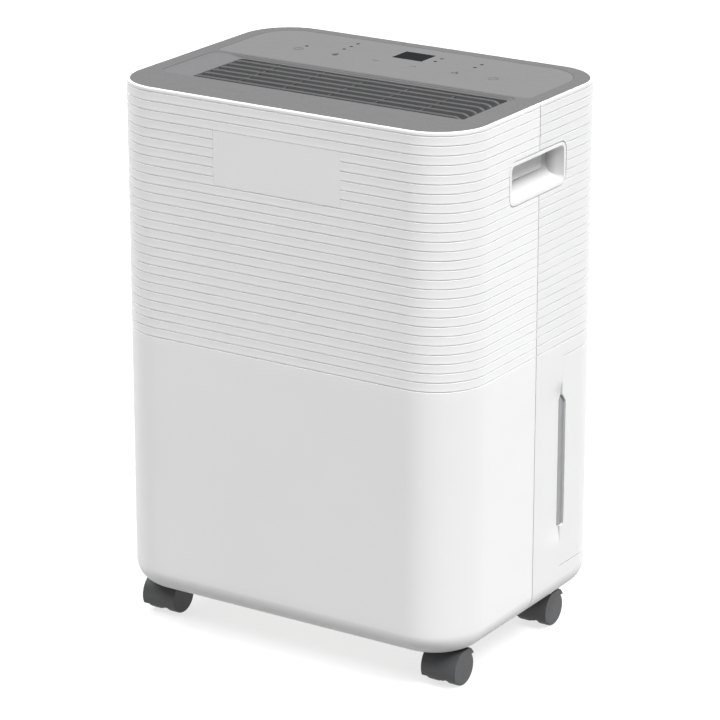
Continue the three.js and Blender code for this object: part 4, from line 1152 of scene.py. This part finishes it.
def build_drain():
    """The drip tray, the spout over the tank, the rubber plug and the cord gland."""
    refined("drip_tray", "condensate_tray", 0.4)
    low, high = box("drain_spout")
    centre = middle("drain_spout")
    bore, outer = 4.2, 6.1
    spout = [(bore, low.z), (outer - 1, low.z), (outer, low.z + 2), (outer, high.z), (bore, high.z)]
    stand_in(lathe("spout", "Z", (centre.x, centre.y, 0), spout), "drain_spout")
    build_plug()
    build_gland()


def build_plug():
    """The rubber plug: a ribbed stopper with a domed head."""
    low, high = box("drain_plug")
    centre = middle("drain_plug")
    profile = [(0, low.y), (3.4, low.y), (3.9, low.y + 0.8)]
    for ring in range(3):
        y = low.y + 2 + 2.4 * ring
        profile += [(3.5, y), (3.9, y + 0.9), (3.5, y + 1.6)]
    head = high.y - 2
    profile += [
        (3.8, head), (8.1, head), (8.5, head + 0.4), (8.4, high.y - 0.6),
        (7.2, high.y - 0.1), (5.4, high.y), (4.8, high.y - 0.5), (0, high.y - 0.6),
    ]
    stand_in(lathe("stopper", "Y", (centre.x, 0, centre.z), profile), "drain_plug")


def build_gland():
    """The ring that a mains cord would leave the rear shell by."""
    low, high = box("cord_gland")
    centre = middle("cord_gland")
    profile = [
        (3.5, low.y), (6.6, low.y), (7, low.y + 0.5), (7, high.y - 1),
        (6.3, high.y - 0.2), (5.2, high.y), (4.2, high.y - 0.3), (3.5, high.y - 1),
    ]
    stand_in(lathe("gland", "Y", (centre.x, 0, centre.z), profile), "cord_gland")


# ---- refrigeration circuit


def build_compressor():
    """The welded can with its seam and rounded ends, on a three-cornered foot plate."""
    low, high = box("compressor")
    feet = [middle(f"compressor_grommet_{number}") for number in (1, 2, 3)]
    centre = sum(feet, Vector()) / 3
    radius = 56
    base_z = low.z + 2.2
    seam_z = 142
    profile = [(0, base_z), (radius - 14, base_z)]
    profile += arc(radius - 14, base_z + 14, 14, -90, 0, 10)[1:]
    profile += [
        (radius, seam_z - 3), (radius + 1.2, seam_z - 1.6), (radius + 1.2, seam_z + 1.6),
        (radius, seam_z + 3),
    ]
    profile += arc(radius - 26, high.z - 26, 26, 0, 90, 16) + [(0, high.z)]
    can = lathe("compressor_can", "Z", (centre.x, centre.y, 0), profile, 96)
    corners = []
    for foot in feet:
        out = (foot - centre).normalized()
        tip = centre + out * 74
        turn = math.degrees(math.atan2(out.y, out.x))
        corners += arc(tip.x, tip.y, 13, turn - 60, turn + 60, 10)
    plate = prism("foot_plate", corners, "Z", low.z, low.z + 2.6)
    holes = [rod("tool", "Z", (foot.x, foot.y, 0), 4, low.z - PAST, low.z + PAST) for foot in feet]
    carve(plate, *holes)
    stand_in(gather("compressor_can", [can, round_edges(plate, 0.5)]), "compressor")
    for number, foot in enumerate(feet, 1):
        build_grommet(number, foot)
    refined("terminal_cover", "terminal_cap", 1.5)


def build_grommet(number, foot):
    """A rubber foot with a waist, in which the foot plate sits."""
    node = f"compressor_grommet_{number}"
    low, high = box(node)
    waist = foot.z
    bore, neck, rim = 3.3, 7, 10
    profile = [
        (bore, low.z), (rim - 0.8, low.z), (rim, low.z + 0.8), (rim, waist - 4),
        (neck + 0.6, waist - 2), (neck, waist), (neck + 0.6, waist + 2), (rim, waist + 4),
        (rim, high.z - 0.8), (rim - 0.8, high.z), (bore, high.z),
    ]
    stand_in(lathe(f"rubber_foot_{number}", "Z", (foot.x, foot.y, 0), profile), node)


def build_coil(node):
    """Thin fins on copper tubes, with return bends at both ends."""
    low, high = box(node)
    fin = [(low.y, low.z), (high.y, low.z), (high.y, high.z), (low.y, high.z)]
    count = int(2 * COIL_HALF / FIN_PITCH)
    places = [-COIL_HALF + 2 * COIL_HALF * i / count for i in range(count + 1)]
    fins = [prism("fin", fin, "X", x - FIN_THICKNESS / 2, x + FIN_THICKNESS / 2) for x in places]
    stand_in(gather(f"{node}_fins", fins), node)
    y = middle(node).y
    bends = []
    tubes = []
    for z in (low.z + 20 + row * 56 for row in range(3)):
        for side in (-1, 1):
            bends.append(return_bend(side, y, z))
            tube_place = (0, y, z + side * BEND_RADIUS)
            tubes.append(rod("tube", "X", tube_place, TUBE_RADIUS, -COIL_HALF - 1, COIL_HALF + 1))
    finish_piece(gather(f"{node}_tubes", bends + tubes), "copper", "casing")


def return_bend(side, y, z):
    """Half a ring of tube standing out of the coil's end."""
    rings = []
    for across, up in arc(0, 0, 1, -90, 90, 16):
        out = Vector((side * across, 0, up))
        centre = Vector((side * COIL_HALF, y, z)) + out * BEND_RADIUS
        circle = arc(0, 0, TUBE_RADIUS, 0, 342, 19)
        rings.append([centre + out * a + Vector((0, b, 0)) for a, b in circle])
    return loft("bend", rings)


# ---- fan


def build_fan():
    """The scroll with its cover, and the motor with cooling ribs, a flange and a shaft."""
    refined("fan_scroll", "fan_volute", 0.5)
    refined("scroll_cover", "volute_cover", 0.4)
    low, high = box("fan_motor")
    axis_z = middle("fan_motor").z
    flange = high.x
    radius = flange - 8
    flange_back = box("fan_scroll")[0].y - GAP
    profile = [(0, low.y), (12, low.y), (12, low.y + 2), (radius - 5, low.y + 3), (radius, low.y + 8)]
    for rib in range(6):
        y = low.y + 11 + 4.6 * rib
        profile += [(radius, y), (radius - 1.4, y + 0.6), (radius - 1.4, y + 2), (radius, y + 2.6)]
    profile += [
        (radius, flange_back - 3.2), (flange - 0.6, flange_back - 3.2),
        (flange, flange_back - 2.6), (flange, flange_back - 0.4), (flange - 0.6, flange_back),
        (4, flange_back), (4, high.y - 0.5), (3.5, high.y), (0, high.y),
    ]
    stand_in(lathe("motor_can", "Y", (0, 0, axis_z), profile, 96), "fan_motor")
    build_impeller()


def build_impeller():
    """A drum wheel: a back disc with its hub, curved blades and a front ring."""
    low, high = box("fan_impeller")
    axis_z = middle("fan_impeller").z
    radius, hub, bore = high.x, 10, 4.3
    inner = radius - 12
    hub_end = -24
    disc = lathe("disc", "Y", (0, 0, axis_z), [
        (bore, low.y), (radius, low.y), (radius, low.y + 2), (hub + 8, low.y + 2),
        (hub + 1, low.y + 6), (hub, hub_end - 1), (hub - 1, hub_end), (bore, hub_end),
    ])
    ring = lathe("ring", "Y", (0, 0, axis_z), [
        (inner, high.y - 3), (radius, high.y - 3), (radius, high.y - 0.5),
        (radius - 0.5, high.y), (inner, high.y),
    ])
    blades = []
    for number in range(20):
        turn = 2 * math.pi * number / 20
        blades.append(impeller_blade(turn, inner, radius, axis_z, low.y + 1.5, high.y - 2))
    stand_in(gather("drum_wheel", [disc, ring, *blades]), "fan_impeller")


def impeller_blade(turn, inner, radius, axis_z, front, back):
    """One forward-curved blade, thicker in its middle."""
    steps = 8
    sides = [[], []]
    for step in range(steps + 1):
        share = step / steps
        r = inner + 0.6 + (radius - inner - 1.2) * share
        lead = turn + 0.16 * share * share
        half = (0.35 + 0.5 * math.sin(math.pi * share)) / r
        for side, points in zip((-1, 1), sides):
            a = lead + side * half
            points.append((r * math.cos(a), axis_z + r * math.sin(a)))
    return prism("blade", sides[0] + sides[1][::-1], "Y", front, back)


# ---- electrics


def build_electrics():
    """The electrics box with its board and parts, the capacitor, the sensor, the switch and the key board."""
    refined("electrics_box", "electrics_tray", 0.6)
    low, high = box("main_board")
    board_back = low.y + 1.6
    stand_in(block("power_board", low, (high.x, board_back, high.z), 0.2), "main_board")
    parts = [
        block("transformer", (66, board_back - 0.2, 312), (90, high.y, 344), 1.2),
        block("relay", (98, board_back - 0.2, 320), (138, -108, 350), 0.8),
    ]
    for x in (78, 104):
        parts.append(rod("can", "Y", (x, 0, 372), 9, board_back - 0.2, high.y, 0.8))
    for number in range(6):
        x = 66 + 11.4 * number
        parts.append(block("terminal", (x, board_back - 0.2, 398), (x + 10.6, -114, 412), 0.6))
    finish_piece(gather("board_components", parts), "black_plastic", "casing")
    build_capacitor()
    refined("humidity_sensor", "sensor_board", 0.3)
    refined("tank_switch", "full_tank_switch", 0.5)
    refined("control_board", "key_board", 0.2)


def build_capacitor():
    """The run capacitor: a can with a rolled groove and two tags."""
    low, high = box("capacitor")
    x, y = (low.x + high.x) / 2, (low.y + high.y) / 2
    radius, top = high.x - x, high.z - 8
    profile = [
        (0, low.z), (radius - 1, low.z), (radius, low.z + 1), (radius, top - 5),
        (radius - 1, top - 4), (radius, top - 3), (radius, top - 0.8),
        (radius - 0.8, top), (radius - 2, top - 0.6), (0, top - 0.6),
    ]
    parts = [lathe("can", "Z", (x, y, 0), profile)]
    for dx in (-5, 5):
        parts.append(block("tag", (x + dx - 0.6, y - 3, top - 1), (x + dx + 0.6, y + 3, high.z), 0.2))
    stand_in(gather("run_capacitor", parts), "capacitor")


# ---- casters


def build_caster(name):
    """A hood over two wheels on one axle, and the stem that turns in the base tray."""
    low, high = box(f"{name}_axle")
    centre = middle(f"{name}_axle")
    stand_in(caster_hood(name, centre), f"{name}_hood")
    axle = rod(f"{name}_pin", "X", centre, 2.5, low.x - centre.x, high.x - centre.x, 0.5)
    stand_in(axle, f"{name}_axle")
    for side, word in ((-1, "left"), (1, "right")):
        node = f"{name}_wheel_{word}"
        stand_in(caster_wheel(f"{name}_tyre_{word}", centre, side), node)


def hood_arc(centre, inset, start, end):
    """The hood's outside in (y, z), pulled in by an inset: it thins out towards its rear end."""
    points = []
    for step in range(49):
        turn = start + (end - start) * step / 48
        thinning = smoothstep((HOOD_TAPER_START - turn) / (HOOD_TAPER_START - HOOD_BACK))
        radius = HOOD_OUTER - inset - HOOD_TAPER * thinning
        points += arc(centre.y, centre.z, radius, turn, turn, 1)[:1]
    return points


def caster_hood(name, centre):
    """The hood: a band over the wheels, thin cheeks, a fin between the wheels and the stem."""
    pivot_y = centre.y + CASTER_TRAIL
    band = hood_arc(centre, 0, HOOD_BACK, HOOD_FRONT)
    band += arc(centre.y, centre.z, HOOD_INNER, HOOD_FRONT, HOOD_BACK, 48)
    band = [(y, min(z, CASTER_TOP)) for y, z in band]
    hood = prism("band", band, "X", centre.x - CASTER_HALF, centre.x + CASTER_HALF)
    round_edges(hood, 0.2, 2)
    cheek = hood_arc(centre, 0.3, CHEEK_TURN, 180 - CHEEK_TURN)
    cheek = [(y, min(z, CASTER_TOP - 0.4)) for y, z in cheek]
    cheek_spans = [(-CASTER_HALF + 0.1, -CASTER_HALF + 1.2), (CASTER_HALF - 1.2, CASTER_HALF - 0.1)]
    cheeks = [prism("cheek", cheek, "X", centre.x + near, centre.x + far) for near, far in cheek_spans]
    web = CASTER_HALF - WHEEL_WIDTH - 0.8
    fin = overlap(
        rod("web", "X", centre, HOOD_OUTER - 0.5, -web, web, 0.6, 96),
        block("tool", centre - Vector((FAR, FAR, 9.5)), (FAR, FAR, CASTER_TOP - 0.1)),
    )
    arm_low = (centre.x - web + 0.4, centre.y, HOOD_INNER)
    arm_high = (centre.x + web - 0.4, pivot_y + 5.5, CASTER_TOP - 0.2)
    arm = block("arm", arm_low, arm_high, 0.8)
    stem = rod("stem", "Z", (centre.x, pivot_y, 0), 4, CASTER_TOP - 6, CASTER_STEM_TOP, 0.8)
    whole = weld(hood, *cheeks, fin, arm, stem)
    whole.name = f"{name}_cowl"
    return carve(whole, rod("tool", "X", centre, WHEEL_BORE, -WHEEL_WIDTH, WHEEL_WIDTH))


def caster_wheel(name, centre, side):
    """A wheel with a rounded tread and a plain disc on its outer side."""
    inner = CASTER_HALF - WHEEL_WIDTH
    face = CASTER_HALF - 1.4
    bore, bore_end = WHEEL_BORE, 15.2
    r = WHEEL_RADIUS
    profile = [(0, bore_end), (bore, bore_end), (bore, inner), (r - 1.2, inner), (r - 0.35, inner + 0.35)]
    profile += [(r, inner + 1.2)]
    profile += arc(r - 2, face - 2, 2, 0, 90, 10) + [(0, face)]
    return lathe(name, "X", centre, [(radius, side * along) for radius, along in profile], 96)


# ---- camera and room


def facing(azimuth, elevation):
    """The direction that a place round the machine lies in, azimuth 0 in front of it and 90 on its right."""
    turn, rise = math.radians(azimuth), math.radians(elevation)
    return Vector((math.sin(turn) * math.cos(rise), -math.cos(turn) * math.cos(rise), math.sin(rise)))


def build_camera():
    """A long lens at the height and side from which the machine's front, right side and top all show."""
    data = bpy.data.cameras.new("camera")
    data.lens = CAMERA_LENS
    data.sensor_width = 36
    camera = bpy.data.objects.new("camera", data)
    back = facing(*CAMERA_SIDE)
    target = Vector((0, 0, (TOP / 2 - CAMERA_DROP) * MM))
    camera.location = target + back * CAMERA_DISTANCE
    camera.rotation_mode = "QUATERNION"
    camera.rotation_quaternion = (-back).to_track_quat("-Z", "Y")
    data.clip_end = 50
    bpy.context.scene.collection.objects.link(camera)
    bpy.context.scene.camera = camera


def soft_lamp(name, azimuth, elevation, strength):
    """A broad, distant lamp: azimuth 0 shines from the front and 90 from the right, in degrees."""
    data = bpy.data.lights.new(name, "SUN")
    data.angle = math.radians(LAMP_SPREAD)
    data.energy = strength
    light = bpy.data.objects.new(name, data)
    light.rotation_mode = "QUATERNION"
    light.rotation_quaternion = facing(azimuth, elevation).to_track_quat("Z", "Y")
    bpy.context.scene.collection.objects.link(light)


def build_room():
    bpy.context.scene.view_settings.view_transform = "Standard"
    world = bpy.data.worlds.new("studio")
    world.use_nodes = True
    background = world.node_tree.nodes["Background"]
    background.inputs["Color"].default_value = (1, 1, 1, 1)
    background.inputs["Strength"].default_value = SKY_STRENGTH
    bpy.context.scene.world = world
    for name, place in LAMPS_ROUND.items():
        soft_lamp(name, *place)
    bm = bmesh.new()
    bmesh.ops.create_grid(bm, x_segments=1, y_segments=1, size=ROOM_RADIUS)
    floor = as_object("floor", bm, 1)
    floor.data.materials.append(light_table("floor_white", (0.3, 0.3, 0.3), glow=0.72))
    floor.visible_diffuse = False  # the machine is lit by the lamps and the sky alone
    build_backdrop()


def build_backdrop():
    """A pale round wall far behind the machine: it lights nothing and casts no shadow."""
    bm = bmesh.new()
    radius = 0.9 * ROOM_RADIUS
    bmesh.ops.create_cone(bm, segments=96, radius1=radius, radius2=radius, depth=ROOM_RADIUS)
    wall = as_object("backdrop", bm, 1)
    wall.data.materials.append(light_table("backdrop_white", (0.03, 0.03, 0.03), glow=0.8))
    wall.visible_diffuse = False
    wall.visible_glossy = False
    wall.visible_shadow = False


# ---- build

build_camera()
build_room()
build_front_shell()
build_rear_shell()
build_badge()
build_handle_cup("handle_cup_left", -1)
build_handle_cup("handle_cup_right", 1)
build_deck()
build_grille()
build_panel()
build_inlet()
build_fascia()
build_bucket()
build_lid()
build_tank_handle()
refined("float_arm", "float", 0.8)
refined("float_pin", "float_axle", 0.3)
build_base_tray()
build_tray_screws()
build_partition()
build_drain()
build_compressor()
for coil in ("evaporator", "condenser"):
    build_coil(coil)
for pipe in ("suction_pipe", "discharge_pipe", "capillary_tube"):
    smoothed(pipe, f"{pipe}_tube")
build_fan()
build_electrics()
for name in CASTER_NAMES:
    build_caster(name)
